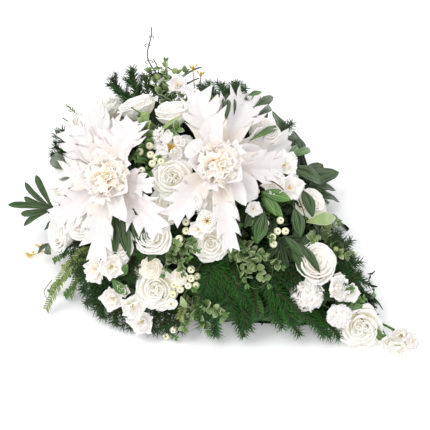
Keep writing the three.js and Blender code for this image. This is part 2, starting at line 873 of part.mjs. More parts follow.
// Leaves and sprays that start from one hole each

function sprayRoot(base) {
  const radius = FORKED_RADIUS;
  const spot = spotOf(base, base.lift ?? -30);
  const axis = spot.normal.clone().multiplyScalar(0.8)
    .addScaledVector(toViewer, base.behind ? 0 : 0.2).normalize();
  const random = dice(Math.round(Math.abs(spot.point.x * 3 + spot.point.y)) + 1);
  const others = placed.filter((other) => other.name !== 'foam_mound');
  for (let attempt = 0; attempt < 40; attempt += 1) {
    const point = spot.point.clone().add(stray(random, attempt * 2.2));
    const root = rootBelow(point, axis);
    const fork = root.mouth.clone().addScaledVector(root.axis, HOLE_MARGIN);
    const rod = straightRod(fork, root.end, radius);
    if (isClear(rod, CLEARANCE + 0.6, others)) {
      drill([fork, root.end], radius);
      return { rod, fork: fork.addScaledVector(root.axis, -2), axis: root.axis };
    }
  }
  return crowded(`root at ${JSON.stringify(base)}`);
}

// Rings of three points, from a pointed start to a tip
function chain(start, rings, tip) {
  const skin = new Skin();
  const low = skin.point(start);
  const ids = rings.map((ring) => ring.map((spot) => skin.point(spot)));
  const high = skin.point(tip);
  const last = ids[ids.length - 1];
  for (let i = 0; i < 3; i += 1) {
    const next = (i + 1) % 3;
    skin.face(low, ids[0][next], ids[0][i]);
    for (let k = 0; k < ids.length - 1; k += 1) {
      skin.face(ids[k][i], ids[k][next], ids[k + 1][next], ids[k + 1][i]);
    }
    skin.face(last[i], last[next], high);
  }
  return skin;
}

const leafRows = [[0.22, 0.62], [0.5, 1], [0.8, 0.6]];
const smallLeafRows = [[0.3, 0.9], [0.7, 0.8]];
const fingerRows = [[0.4, 0.7], [0.72, 1]];

// Rings of a leaf from one point to another: two rims and a keel under them
function leafRings(from, to, over, { width, rows, arch = 0.08 }) {
  const length = from.distanceTo(to);
  const shape = rows ?? (width > 20 ? leafRows : smallLeafRows);
  const way = to.clone().sub(from).normalize();
  const side = way.clone().cross(over).normalize();
  const up = side.clone().cross(way).normalize();
  return shape.map(([share, half]) => {
    const middle = from.clone().lerp(to, share)
      .addScaledVector(up, arch * length * Math.sin(Math.PI * share));
    const keel = Math.max(width * 0.1, 1.4);
    return [
      middle.clone().addScaledVector(side, (-half * width) / 2).addScaledVector(up, keel * 0.4),
      middle.clone().addScaledVector(side, (half * width) / 2).addScaledVector(up, keel * 0.4),
      middle.clone().addScaledVector(up, -keel * 0.6),
    ];
  });
}

// A leaf and its stalk from a joint in one
function stalkedLeaf(joint, lean, from, to, over, leaf) {
  const way = to.clone().sub(from).normalize();
  let up = over.clone().addScaledVector(way, -over.dot(way)).normalize();
  const path = bend(joint, lean, from, 0.35).getPoints(3);
  const rings = [];
  for (let i = path.length - 1; i > 0; i -= 1) {
    const along = path[i].clone().sub(path[i - 1]).normalize();
    up = up.clone().addScaledVector(along, -up.dot(along)).normalize();
    const side = along.clone().cross(up);
    rings.unshift([
      path[i].clone().addScaledVector(side, -STALK_RADIUS).addScaledVector(up, STALK_RADIUS / 2),
      path[i].clone().addScaledVector(side, STALK_RADIUS).addScaledVector(up, STALK_RADIUS / 2),
      path[i].clone().addScaledVector(up, -STALK_RADIUS),
    ]);
  }
  rings.splice(1, 1);
  return chain(joint, [...rings, ...leafRings(from, to, over, leaf)], to).solid();
}

// A leaf of narrow fingers that grow from the faces of a small hub, with its stalk
function fingerLeaf(root, { hub, tips, width, lift }) {
  const random = dice(hub[0]);
  for (const shift of shifts) {
    const spot = place(hub, lift + shift);
    const over = spot.normal.clone().lerp(toViewer, 0.6).normalize();
    const knot = new THREE.IcosahedronGeometry(FINGER_HUB, 0).applyMatrix4(frameAt(spot.point, over));
    knot.deleteAttribute('normal');
    knot.deleteAttribute('uv');
    const merged = mergeVertices(knot, 1e-3);
    const skin = new Skin();
    for (let i = 0; i < merged.attributes.position.count; i += 1) {
      skin.point(vec(0, 0, 0).fromBufferAttribute(merged.attributes.position, i));
    }
    const faces = [];
    for (let i = 0; i < merged.index.count; i += 3) {
      faces.push([...merged.index.array.slice(i, i + 3)]);
    }
    const takeFace = (way) => {
      const score = (face) => centreOf(face.map((id) => skin.points[id])).sub(spot.point).dot(way);
      faces.sort((a, b) => score(b) - score(a));
      return faces.shift();
    };
    tips.forEach((tip) => {
      const end = place(tip, lift + shift).point;
      const face = takeFace(end.clone().sub(spot.point).normalize());
      const from = centreOf(face.map((id) => skin.points[id]));
      grow(skin, face, leafRings(from, end, over, { width, rows: fingerRows, arch: 0.05 }), end);
    });
    const lean = root.axis.clone().add(stray(random, Math.abs(shift) * 0.02)).normalize();
    const path = bend(spot.point, over.clone().negate(), root.fork, 0.3).getPoints(2);
    const way = path[1].clone().sub(path[0]).normalize();
    const side = way.clone().cross(lean).normalize();
    const across = way.clone().cross(side);
    const ring = [
      path[1].clone().addScaledVector(side, -STALK_RADIUS).addScaledVector(across, STALK_RADIUS / 2),
      path[1].clone().addScaledVector(side, STALK_RADIUS).addScaledVector(across, STALK_RADIUS / 2),
      path[1].clone().addScaledVector(across, -STALK_RADIUS),
    ];
    const order = ring[1].clone().sub(ring[0]).cross(ring[2].clone().sub(ring[0])).dot(way);
    grow(skin, takeFace(way), [order > 0 ? ring : ring.reverse()], path[2]);
    faces.forEach((face) => skin.face(...face));
    const solid = skin.solid();
    if (isClear(solid)) {
      return solid;
    }
  }
  return crowded(`finger leaf at ${hub}`);
}

// Leaves on one forked stem, each moved along the sight until clear
function leafGroup(name, paint, base, leaves, fingers = null) {
  const root = sprayRoot(base);
  const parts = [root.rod];
  if (fingers) {
    parts.push(fingerLeaf(root, fingers));
  }
  leaves.forEach((leaf, i) => {
    const random = dice(i + name.length);
    let chosen = null;
    for (const shift of shifts) {
      const lift = (leaf.lift ?? -8) + shift;
      const from = place(leaf.from, lift);
      const to = place(leaf.to, lift);
      const over = from.normal.clone().lerp(toViewer, 0.5);
      for (let attempt = 0; attempt < 4 && !chosen; attempt += 1) {
        const lean = root.axis.clone().add(stray(random, attempt * 0.5)).normalize();
        const solid = stalkedLeaf(root.fork, lean, from.point, to.point, over, leaf);
        if (isClear(solid)) {
          chosen = solid;
        }
      }
      if (chosen) {
        parts.push(chosen);
        return;
      }
    }
    crowded(`${name} leaf ${i}`);
  });
  addPiece(name, joined(parts), paint);
}

// Path points of a twig: growths on every segment, or on a short step of each whorl
function whorlPath(curve, { start, pitch, step }) {
  const length = curve.getLength();
  const marks = [0];
  const levels = [];
  for (let s = start; s < length - step - 2; s += pitch) {
    levels.push(marks.length);
    marks.push(s);
    if (step < pitch) {
      marks.push(s + step);
    }
  }
  marks.push(length);
  return { path: marks.map((s) => curve.getPointAt(s / length)), levels };
}

const SIDEWAYS_LEAST = 0.45; // a paired leaf grows from a face that looks at least this far aside
const INWARD_MOST = 0.4; // a needle points no further than this into the mound

const twigKinds = {
  pine: {
    pitch: 12, step: 12, sides: 3, radius: 2.2, start: 28, halves: [0, 1], paint: 'pine',
    growth: ({ root, out, along }, random, share) => {
      const way = out.clone().addScaledVector(along, 0.5 + 0.7 * share);
      way.add(stray(random, 0.3)).normalize();
      return { rings: [], tip: root.clone().addScaledVector(way, mix(27, 21, share)) };
    },
  },
  eucalyptus: {
    pitch: 25, step: 3, sides: 3, radius: 1.3, start: 20, halves: [0], paired: true,
    paint: 'eucalyptus',
    growth: ({ root, across, along, over }, random, share) => {
      const way = across.clone().addScaledVector(along, 0.7).addScaledVector(over, 0.2).normalize();
      const length = mix(29, 21, share) * (0.85 + 0.3 * random());
      return leafletRings(root, { way, up: over, length, width: length * 0.78, round: 1 });
    },
  },
  laurel: {
    pitch: 52, step: 4, sides: 3, radius: 1.8, start: 22, halves: [0], paired: true,
    paint: 'leaf',
    growth: ({ root, across, along, over }, random, share) => {
      const way = across.clone().addScaledVector(along, 0.8).addScaledVector(over, 0.2).normalize();
      const length = mix(98, 74, share) * (0.85 + 0.3 * random());
      return leafletRings(root, { way, up: over, length, width: length * 0.42, round: 0.6 });
    },
  },
  fern: {
    pitch: 21, step: 3, sides: 3, radius: 1.2, start: 14, halves: [0], paired: true,
    paint: 'fern',
    growth: ({ root, across, along, over }, random, share) => {
      const way = across.clone().addScaledVector(along, 0.9).normalize();
      const length = mix(32, 14, share);
      return leafletRings(root, { way, up: over, length, width: length * 0.34, round: 0.2 });
    },
  },
};

// A twig with whorls, as a solid: growths that come too near to other pieces are left out
function whorledTwig(curve, kind, over, seed, siblings) {
  const random = dice(seed);
  const { path, levels } = whorlPath(curve, kind);
  const radii = path.map((_, i) => mix(kind.radius, kind.radius * 0.6, i / path.length));
  const own = [];
  const growths = [];
  levels.forEach((level) => {
    for (let side = 0; side < kind.sides; side += 1) {
      kind.halves.forEach((half) => {
        growths.push({
          level,
          side,
          half,
          make: (spots, frame) => {
            const share = level / path.length;
            const root = centreOf(spots);
            const out = root.clone().sub(path[level]);
            out.addScaledVector(frame.along, -out.dot(frame.along)).normalize();
            const across = frame.along.clone().cross(over).normalize();
            const sideways = out.dot(across);
            const fits = kind.paired
              ? Math.abs(sideways) >= SIDEWAYS_LEAST
              : out.dot(over) > -INWARD_MOST;
            if (!fits) {
              return null;
            }
            across.multiplyScalar(Math.sign(sideways));
            const facing = { root, out, across, along: frame.along, over };
            const shape = kind.growth(facing, random, share);
            const way = shape.tip.clone().sub(root).normalize();
            const lifted = spots.map((spot) => spot.addScaledVector(way, 0.8));
            const solid = growthSolid(lifted, shape.rings, shape.tip);
            const near = kind.paired ? [...own, ...siblings] : siblings;
            if (near.some((other) => other.minGap(solid, 0.4) < 0.08) || !isClear(solid)) {
              return null;
            }
            own.push(solid);
            return shape;
          },
        });
      });
    }
  });
  return stalk(path, radii, { sides: kind.sides, growths, twist: 0.3 });
}

// Twigs of one kind from one hole; the first starts from the hole, others from it or a fork
function spray(name, kindName, base, twigs) {
  const kind = twigKinds[kindName];
  const root = sprayRoot(base);
  const parts = [root.rod];
  const curves = [];
  const bares = [];
  twigs.forEach((twig, i) => {
    const from = twig.fork === undefined ? root.fork : curves[0].getPointAt(twig.fork);
    const random = dice(i * 17 + name.length);
    let chosen = null;
    for (let attempt = 0; attempt < 30 && !chosen; attempt += 1) {
      const target = spotOf(twig, (twig.lift ?? -12) - attempt * 1.2);
      const lean = root.axis.clone();
      if (twig.fork !== undefined) {
        lean.copy(curves[0].getTangentAt(twig.fork));
      }
      lean.add(stray(random, attempt * 0.05));
      const curve = bend(from, lean.normalize(), target.point, twig.bow ?? 0.35);
      const points = curve.getPoints(5);
      const bare = stalk(points, points.map(() => kind.radius + 0.3), { sides: 3 });
      if (isClear(bare)) {
        chosen = { curve, bare, over: target.normal };
      }
    }
    if (!chosen) {
      crowded(`${name} twig ${i}`);
    }
    curves.push(chosen.curve);
    bares.push(chosen);
  });
  bares.forEach(({ curve, over }, i) => {
    const others = bares.filter((other) => other.curve !== curve).map((other) => other.bare);
    const siblings = [...others, ...parts.slice(1)];
    parts.push(whorledTwig(curve, kind, over, i * 5 + name.length, siblings));
  });
  addPiece(name, joined(parts), kind.paint);
}

// The pieces. Places are read from the viewpoint, sizes are in millimetres

const foamBlank = foamMound();
placed.push({ name: 'foam_mound', solid: foamBlank, box: foamBlank.boundingBox() });

bloom('bloom_left', {
  at: [110, 178],
  heart: 37,
  short: 5,
  petalLift: 10,
  petals: [
    { tip: [155, 186], width: 48 },
    { tip: [138, 121], width: 74 },
    { tip: [113, 117], width: 60 },
    { tip: [90, 111], width: 84 },
    { tip: [65, 127], width: 66 },
    { tip: [58, 180], width: 66 },
    { tip: [54, 221], width: 76 },
    { tip: [99, 262], width: 66 },
    { tip: [163, 234], width: 80 },
  ],
});

bloom('bloom_right', {
  at: [216, 165],
  heart: 37,
  short: 5,
  petalLift: 10,
  petals: [
    { tip: [292, 142], width: 82 },
    { tip: [249, 93], width: 82 },
    { tip: [197, 89], width: 82 },
    { tip: [186, 146], width: 44, smooth: true },
    { tip: [168, 221], width: 60 },
    { tip: [231, 253], width: 58 },
    { tip: [257, 198], width: 60, smooth: true },
    { tip: [284, 170], width: 60 },
  ],
});

const rose = (at, size, more = {}) => ({ kind: 'rose', at, size, ...more });
const floretAt = (at, size, more = {}) => ({ kind: 'floret', at, size, ...more });
const berryAt = (at) => ({ kind: 'berry', at, size: 7 });

flowerStem('rose_centre', 'rose', [rose([172, 178], 36, { seed: 3, face: 0.8 })]);
flowerStem('rose_low', 'rose', [rose([155, 291], 36, { seed: 4, face: 0.6 })]);
flowerStem('roses_top_left', 'rose', [
  rose([135, 104], 36, { seed: 5, face: 0.3 }),
  rose([107, 106], 34, { seed: 6, layers: 3, lift: -12 }),
]);
flowerStem('rose_top', 'rose', [rose([172, 110], 34, { seed: 7, layers: 3, face: 0.2 })]);
flowerStem('rose_left', 'rose', [rose([62, 193], 34, { layers: 3, seed: 8 })]);
flowerStem('roses_low_left', 'rose', [
  rose([58, 234], 36, { seed: 9, layers: 3, face: 0.3 }),
  rose([81, 225], 28, { seed: 10, layers: 3, lift: -14 }),
]);
flowerStem('roses_front', 'rose', [
  rose([152, 236], 34, { seed: 11, layers: 3 }),
  rose([118, 244], 28, { seed: 12, layers: 3, lift: -8 }),
]);
flowerStem('rose_middle', 'rose', [rose([211, 244], 33, { seed: 13, layers: 3 })]);
flowerStem('rose_right', 'rose', [rose([317, 262], 38, { seed: 14, face: 0.35 })]);
flowerStem('rose_far_right', 'rose', [rose([315, 201], 32, { layers: 3, seed: 15, face: 0.3 })]);
flowerStem('rose_top_right', 'rose', [rose([266, 130], 34, { layers: 3, seed: 16, face: 0.3 })]);
flowerStem('rose_tail', 'rose', [rose([362, 329], 38, { seed: 17, face: 0.6 })]);
flowerStem('roses_behind', 'rose', [
  { kind: 'rose', behind: { bearing: 112, height: 120 }, size: 36, seed: 18, layers: 3 },
  { kind: 'rose', behind: { bearing: 92, height: 150 }, size: 32, seed: 19, layers: 3 },
]);

flowerStem('berries_top', 'berry', [
  [150, 154], [149, 145], [139, 151], [156, 157], [152, 163], [161, 161], [141, 170],
].map(berryAt));
flowerStem('berries_right', 'berry', [
  [278, 231], [266, 223], [281, 220], [286, 231], [273, 237], [274, 244],
].map(berryAt));
flowerStem('berries_low', 'berry', [
  [191, 279], [191, 270], [197, 277], [188, 286], [196, 286], [180, 290], [174, 285], [173, 295],
  [173, 331], [166, 337],
].map(berryAt));
flowerStem('berries_middle', 'berry', [[186, 231], [186, 222], [179, 239]].map(berryAt));

flowerStem('blossoms_top', 'blossom', [
  floretAt([178, 84], 24), floretAt([187, 92], 16),
]);
flowerStem('blossoms_freesia', 'blossom', [
  floretAt([171, 147], 24, { cup: 0.5 }),
  floretAt([163, 140], 20, { cup: 0.6 }),
  floretAt([178, 155], 20, { cup: 0.6 }),
  { kind: 'bud', at: [160, 154], size: 10 },
]);
flowerStem('blossoms_middle', 'blossom', [
  floretAt([212, 195], 24), floretAt([201, 204], 22), floretAt([211, 216], 24),
  floretAt([199, 229], 20),
]);
flowerStem('blossoms_orchid', 'blossom', [
  floretAt([271, 182], 28, { petals: 5, cup: 0.2 }), floretAt([285, 165], 28), floretAt([290, 187], 28),
]);
flowerStem('blossoms_low', 'blossom', [
  floretAt([113, 298], 26), floretAt([97, 271], 30), floretAt([111, 267], 28),
  floretAt([131, 306], 28), floretAt([143, 322], 30),
]);
flowerStem('blossoms_ranunculus', 'blossom', [
  { kind: 'ruffle', at: [150, 269], size: 20 }, { kind: 'ruffle', at: [141, 273], size: 14 },
  { kind: 'ruffle', at: [179, 278], size: 15 },
]);
flowerStem('blossoms_right', 'blossom', [
  { kind: 'ruffle', at: [308, 295], size: 30 }, floretAt([335, 288], 28), floretAt([350, 293], 20),
  { kind: 'ruffle', at: [340, 317], size: 22 },
]);
flowerStem('blossoms_tail', 'blossom', [
  floretAt([402, 336], 24), floretAt([389, 342], 20), floretAt([413, 341], 18),
  floretAt([399, 348], 22),
]);

const leaf = (from, to, width, more = {}) => ({ from, to, width, ...more });

leafGroup('leaves_left', 'leaf', { at: [72, 190] }, [
  leaf([79, 170], [52, 158], 28), leaf([80, 175], [60, 177], 20),
], {
  hub: [53, 209],
  tips: [[25, 182], [36, 175], [24, 197], [8, 205], [21, 214], [24, 226]],
  width: 15,
  lift: 0,
});
leafGroup('leaves_top', 'leaf', { at: [236, 112] }, [
  leaf([217, 94], [221, 124], 24), leaf([227, 94], [232, 119], 20), leaf([250, 114], [273, 97], 18),
  leaf([252, 118], [271, 109], 17), leaf([248, 108], [259, 95], 15),
  leaf([279, 128], [249, 141], 12, { lift: 14 }),
]);
leafGroup('leaves_right', 'leaf', { at: [293, 180] }, [
  leaf([289, 168], [321, 183], 28), leaf([302, 190], [313, 218], 24), leaf([284, 162], [297, 147], 16),
  leaf([288, 158], [310, 151], 15),
  leaf([306, 222], [336, 218], 24), leaf([294, 208], [300, 238], 24),
]);
leafGroup('leaves_centre', 'leaf', { at: [272, 214] }, [
  leaf([261, 192], [291, 200], 22), leaf([261, 198], [283, 217], 22), leaf([262, 190], [284, 190], 18),
  leaf([262, 202], [244, 228], 26), leaf([264, 212], [256, 244], 26),
], {
  hub: [280, 239],
  tips: [[306, 240], [303, 253], [297, 265], [287, 273], [276, 270], [268, 258]],
  width: 17,
  lift: 4,
});
leafGroup('leaves_front', 'leaf', { at: [124, 226] }, [
  leaf([113, 212], [116, 256], 24), leaf([122, 208], [130, 259], 22), leaf([133, 208], [145, 252], 22),
]);
leafGroup('leaves_low', 'leaf', { at: [122, 284] }, [
  leaf([112, 279], [128, 295], 20, { lift: 4 }), leaf([133, 301], [155, 309], 20, { lift: 4 }),
  leaf([119, 276], [128, 264], 18),
]);
leafGroup('leaves_tail', 'leaf', { at: [344, 300] }, [
  leaf([334, 306], [350, 296], 24), leaf([350, 306], [361, 296], 16),
  leaf([352, 309], [363, 305], 14),
]);

// A curly twig of two thin strands that wind round each other, with tendrils
function curlyTwig(name, paint, base, to, strands) {
  const root = sprayRoot(base);
  const count = STRAND.steps;
  for (const shift of shifts) {
    const middle = bend(root.fork, root.axis, place(to, shift).point, 0.3);
    const parts = strands.map(({ phase, reach, turns, swing }) => {
      const path = [];
      for (let i = 0; i <= count; i += 1) {
        const share = (i / count) * reach;
        const angle = phase + share * turns * Math.PI * 2;
        const off = swing * Math.min(share * 2.5, 1);
        path.push(middle.getPointAt(share)
          .addScaledVector(viewRight, Math.cos(angle) * off)
          .addScaledVector(toViewer, Math.sin(angle) * off));
      }
      const radii = path.map((_, i) => mix(STRAND.thick, STRAND.thin, i / count));
      return stalk(path, radii, { sides: 3 });
    });
    if (parts.every((strand) => isClear(strand))) {
      addPiece(name, joined([root.rod, ...parts]), paint);
      return;
    }
  }
  crowded(name);
}

curlyTwig('twig_willow', 'paleTwig', { at: [156, 84] }, [147, 27], [
  { phase: 0, reach: 1, turns: 2.5, swing: 4 },
  { phase: Math.PI, reach: 0.78, turns: 2, swing: 8 },
]);

const twigTo = (at, more = {}) => ({ at, ...more });
const behindTo = (bearing, height, lift) => ({ behind: { bearing, height }, lift });

spray('eucalyptus_top', 'eucalyptus', { at: [164, 92] }, [
  twigTo([150, 71]), twigTo([166, 62]), twigTo([186, 72]),
]);
spray('eucalyptus_middle', 'eucalyptus', { at: [158, 128] }, [
  twigTo([142, 117]), twigTo([176, 126]),
]);
spray('eucalyptus_centre', 'eucalyptus', { at: [176, 246] }, [
  twigTo([164, 274], { lift: 4 }), twigTo([197, 250], { lift: 4 }), twigTo([183, 272], { lift: 6 }),
]);
spray('eucalyptus_right', 'eucalyptus', { at: [240, 244] }, [
  twigTo([247, 284], { lift: 6 }), twigTo([281, 266], { lift: 6 }), twigTo([268, 284], { lift: 6 }),
]);
spray('eucalyptus_far_right', 'eucalyptus', { at: [322, 232] }, [
  twigTo([351, 257]), twigTo([338, 224]),
]);
spray('eucalyptus_low', 'eucalyptus', { at: [192, 300] }, [
  twigTo([224, 313], { lift: 4 }), twigTo([208, 330], { lift: 4 }), twigTo([184, 322]),
]);
spray('fern_left', 'fern', { at: [80, 250] }, [
  twigTo([46, 309], { lift: 4, bow: 0.5 }), twigTo([70, 297], { lift: 2 }),
]);

flowerStem('twig_yellow_top', 'budTwig', [
  { kind: 'bud', at: [201, 72], size: 6 }, { kind: 'bud', at: [193, 66], size: 6 },
]);
flowerStem('twig_yellow_left', 'budTwig', [
  { kind: 'bud', at: [38, 247], size: 6 }, { kind: 'bud', at: [27, 256], size: 8 },
]);

spray('pine_front', 'pine', { at: [215, 262] }, [
  twigTo([201, 300]), twigTo([216, 336]), twigTo([243, 336]), twigTo([246, 300]),
]);
spray('pine_tail', 'pine', { at: [268, 284] }, [
  twigTo([330, 336]), twigTo([300, 336]), twigTo([276, 320]),
]);
spray('pine_low_left', 'pine', { at: [110, 284] }, [
  twigTo([84, 276]), twigTo([86, 304]),
]);
spray('pine_top_left', 'pine', { at: [134, 98] }, [
  twigTo([111, 84]), twigTo([132, 68]),
]);
spray('pine_top_right', 'pine', { at: [222, 112] }, [
  twigTo([208, 82]), twigTo([238, 84]),
]);
spray('pine_left', 'pine', { at: [76, 152] }, [
  twigTo([52, 154]), twigTo([62, 130]),
]);
spray('pine_right', 'pine', { at: [276, 142] }, [
  twigTo([292, 122]), twigTo([296, 140]),
]);
spray('pine_right_middle', 'pine', { at: [302, 196] }, [
  twigTo([324, 184]), twigTo([322, 202]),
]);
spray('pine_right_low', 'pine', { at: [330, 264] }, [
  twigTo([351, 240]), twigTo([360, 262]), twigTo([368, 284]),
]);
spray('pine_behind', 'pine', { behind: { bearing: 92, height: 70 } }, [
  behindTo(78, 30, 6), behindTo(108, 30, 6),
]);
spray('laurel_behind', 'laurel', { behind: { bearing: 138, height: 120 } }, [
  behindTo(162, 40, 0), behindTo(182, 130, 0), behindTo(118, 40, 0), behindTo(132, 220, 0),
]);
spray('laurel_tail', 'laurel', { behind: { bearing: 52, height: 70 } }, [
  behindTo(34, 30, -30), behindTo(68, 36, -4), behindTo(74, 140, -14), behindTo(96, 210, -10),
]);
spray('laurel_left', 'laurel', { behind: { bearing: 206, height: 90 } }, [
  behindTo(186, 36, 0), behindTo(228, 44, 0), behindTo(190, 150, 0), behindTo(222, 130, -6),
]);

const foam = foamBlank.subtract(wasm.Manifold.union(holes)).simplify(SLIVER);
addPiece('foam_mound', foam, 'foam');

export default group;
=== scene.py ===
# Teardrop funeral arrangement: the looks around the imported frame.
# Places are worked out in millimetres, as in the frame, and become metres at the end.

import math
import random
from collections import defaultdict

import bpy
import numpy as np
from mathutils import Matrix, Vector
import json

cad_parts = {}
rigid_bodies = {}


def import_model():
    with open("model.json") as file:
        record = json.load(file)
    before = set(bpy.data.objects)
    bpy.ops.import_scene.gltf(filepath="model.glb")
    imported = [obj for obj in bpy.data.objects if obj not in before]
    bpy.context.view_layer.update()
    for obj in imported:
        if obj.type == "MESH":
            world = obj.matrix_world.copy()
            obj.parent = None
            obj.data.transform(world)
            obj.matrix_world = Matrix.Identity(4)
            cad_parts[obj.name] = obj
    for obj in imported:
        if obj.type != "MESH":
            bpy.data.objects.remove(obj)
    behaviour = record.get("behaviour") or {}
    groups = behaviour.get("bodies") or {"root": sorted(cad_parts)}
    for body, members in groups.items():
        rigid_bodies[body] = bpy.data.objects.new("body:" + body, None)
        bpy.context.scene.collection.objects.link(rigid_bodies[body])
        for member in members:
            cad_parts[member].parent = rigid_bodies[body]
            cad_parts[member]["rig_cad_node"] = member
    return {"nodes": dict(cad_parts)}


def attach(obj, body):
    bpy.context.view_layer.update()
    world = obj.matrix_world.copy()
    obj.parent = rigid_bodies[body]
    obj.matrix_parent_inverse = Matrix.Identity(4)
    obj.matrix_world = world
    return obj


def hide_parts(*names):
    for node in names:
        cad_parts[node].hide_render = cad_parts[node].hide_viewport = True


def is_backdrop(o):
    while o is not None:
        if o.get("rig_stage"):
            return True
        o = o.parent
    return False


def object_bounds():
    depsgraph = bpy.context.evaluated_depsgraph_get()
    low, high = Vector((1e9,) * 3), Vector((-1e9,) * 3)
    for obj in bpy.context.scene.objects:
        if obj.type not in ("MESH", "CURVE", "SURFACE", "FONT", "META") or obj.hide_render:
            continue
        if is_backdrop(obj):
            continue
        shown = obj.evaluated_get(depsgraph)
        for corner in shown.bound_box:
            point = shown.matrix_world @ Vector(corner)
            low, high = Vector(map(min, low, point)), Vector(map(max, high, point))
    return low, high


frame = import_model()
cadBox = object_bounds()
mm = 0.001
floorGap = 0.0004  # what would reach through the floor lies this much over it
print("frame loaded:", len(frame["nodes"]), "nodes")

# the viewpoint also says where a place of the photograph's grid lies on the shell of flowers
viewSettings = {
    "turn": 34, "rise": 45,  # degrees round the object and above the horizon
    "distance": 2400, "lens": 100.47,
    "step": 2, "middle": 215, "originAt": (189, 236),  # the grid: mm for a step, its middle, where the origin is
    "before": 650, "beyond": 500, "stride": 3, "lowest": 6,  # the stretch of a sight line that is searched
}
moundForm = {"end": 0.985, "planBow": 1.5, "planPower": 1.05, "topBow": 1.35, "topPower": 1.25}
shell = {"radius": 280, "height": 322, "reach": 500, "tipHeight": 34}
foam = {"radius": 205, "height": 245, "reach": 415, "tipHeight": 30}

turnAngle = math.radians(viewSettings["turn"])
riseAngle = math.radians(viewSettings["rise"])
flatPart = math.cos(riseAngle)
toViewer = Vector((math.sin(turnAngle) * flatPart, -math.cos(turnAngle) * flatPart, math.sin(riseAngle)))
viewRight = Vector((math.cos(turnAngle), math.sin(turnAngle), 0))
viewUp = toViewer.cross(viewRight)
eye = (
    toViewer * viewSettings["distance"]
    + viewRight * (viewSettings["middle"] - viewSettings["originAt"][0]) * viewSettings["step"]
    + viewUp * (viewSettings["originAt"][1] - viewSettings["middle"]) * viewSettings["step"]
)
upward = Vector((0, 0, 1))


def moundGap(p, mound):
    # about how far a point is outside a mound
    along = min(max(p[0] / mound["reach"], 0), moundForm["end"])
    half = mound["radius"] * (1 - along ** moundForm["planBow"]) ** moundForm["planPower"]
    height = mound["height"] * (1 - along ** moundForm["topBow"]) ** moundForm["topPower"] + mound["tipHeight"] * along
    back = min(p[0], 0) / mound["radius"]
    beyond = max(p[0] - mound["reach"] * moundForm["end"], 0)
    around = math.sqrt(back**2 + (p[1] / half) ** 2 + (max(p[2], 0) / height) ** 2)
    return (around - 1) * min(half, height) + beyond


def moundNormal(p, mound):
    out = []
    for k in range(3):
        step = Vector((0, 0, 0))
        step[k] = 3
        out.append(moundGap(p + step, mound) - moundGap(p - step, mound))
    return Vector(out).normalized()


def place(at, lift=0):
    # where the sight through a grid place meets the shell, or passes it nearest
    scale = viewSettings["step"] / viewSettings["distance"]
    middle = viewSettings["middle"]
    ray = -toViewer + viewRight * (at[0] - middle) * scale + viewUp * (middle - at[1]) * scale
    best, gapThere = None, 1e9
    t = viewSettings["distance"] - viewSettings["before"]
    while t < viewSettings["distance"] + viewSettings["beyond"]:
        point = eye + ray * t
        if point.z < viewSettings["lowest"]:
            break
        gap = moundGap(point, shell)
        if best is None or gap < gapThere:
            best, gapThere = point, gap
        if gap <= 0:
            break
        t += viewSettings["stride"]
    return best - ray.normalized() * lift, moundNormal(best, shell)


def placeBehind(bearing, height):
    out = Vector((math.cos(math.radians(bearing)), math.sin(math.radians(bearing)), 0))
    point = Vector((0, 0, height))
    while moundGap(point, shell) < 0:
        point += out * 2
    return point, moundNormal(point, shell)


def turnedFrame(origin, x, y, z, size):
    turned = Matrix((x, y, z)).transposed().to_4x4()
    return Matrix.Translation(origin * mm) @ turned @ Matrix.Diagonal((*(v * mm for v in size), 1))


def frameAt(point, axis, spin, size):
    # a frame with its z along the axis; one size or three
    x = (viewRight - axis * viewRight.dot(axis)).normalized()
    x = spun(x, axis, math.radians(spin))
    return turnedFrame(point, x, axis.cross(x), axis, size if isinstance(size, tuple) else (size,) * 3)


def outAt(axis, degrees):
    return frameAt(Vector((0, 0, 0)), axis, degrees, 1).to_3x3().normalized() @ Vector((1, 0, 0))


def bladeAt(start, end, over, width, lift=None, roll=0.0):
    # a frame whose x runs from start to end, for a leaf or petal of unit length
    way = end - start
    x = way.normalized()
    z = spun((over - x * over.dot(x)).normalized(), x, math.radians(roll))
    return turnedFrame(start, x, z.cross(x), z, (way.length, width, way.length if lift is None else lift))


def spun(vector, axis, angle):
    return Matrix.Rotation(angle, 3, axis) @ vector


def bendPoints(a, b, c, count):
    # points of the curve from a to c that leaves a towards b
    shares = [i / count for i in range(count + 1)]
    return [a * (1 - s) ** 2 + b * (2 * s * (1 - s)) + c * s**2 for s in shares]


def evenPoints(points, step, first=0.0):
    # points at even distances along a path, each with the way there, and the path's length
    found = []
    walked, mark = 0.0, first
    for a, b in zip(points[:-1], points[1:]):
        length = (b - a).length
        while mark <= walked + length:
            found.append((a.lerp(b, (mark - walked) / length), (b - a).normalized(), mark))
            mark += step
        walked += length
    return found, walked


# meshes: patterns are modelled once at unit size, then copied to their places
def only(*objects):
    bpy.ops.object.select_all(action="DESELECT")
    for obj in objects:
        obj.select_set(True)
    bpy.context.view_layer.objects.active = objects[0]


def primitive(add, **settings):
    bpy.ops.object.select_all(action="DESELECT")
    add(**settings)
    bpy.ops.object.transform_apply()
    return bpy.context.object


def newBlade(along, across, rule, thickness, matrix=None):
    # a thin sheet: rule turns along (0 to 1) and across (-1 to 1) into a point
    add = bpy.ops.mesh.primitive_grid_add
    obj = primitive(add, x_subdivisions=along, y_subdivisions=across, size=1, location=(0.5, 0, 0))
    for vertex in obj.data.vertices:
        vertex.co = rule(vertex.co.x, vertex.co.y * 2)
    obj.data.update()
    if matrix:
        obj.data.transform(matrix)
    only(obj)
    wall = obj.modifiers.new("wall", "SOLIDIFY")
    wall.thickness = thickness
    wall.offset = 0
    bpy.ops.object.modifier_apply(modifier=wall.name)
    bpy.ops.object.shade_smooth()
    return obj


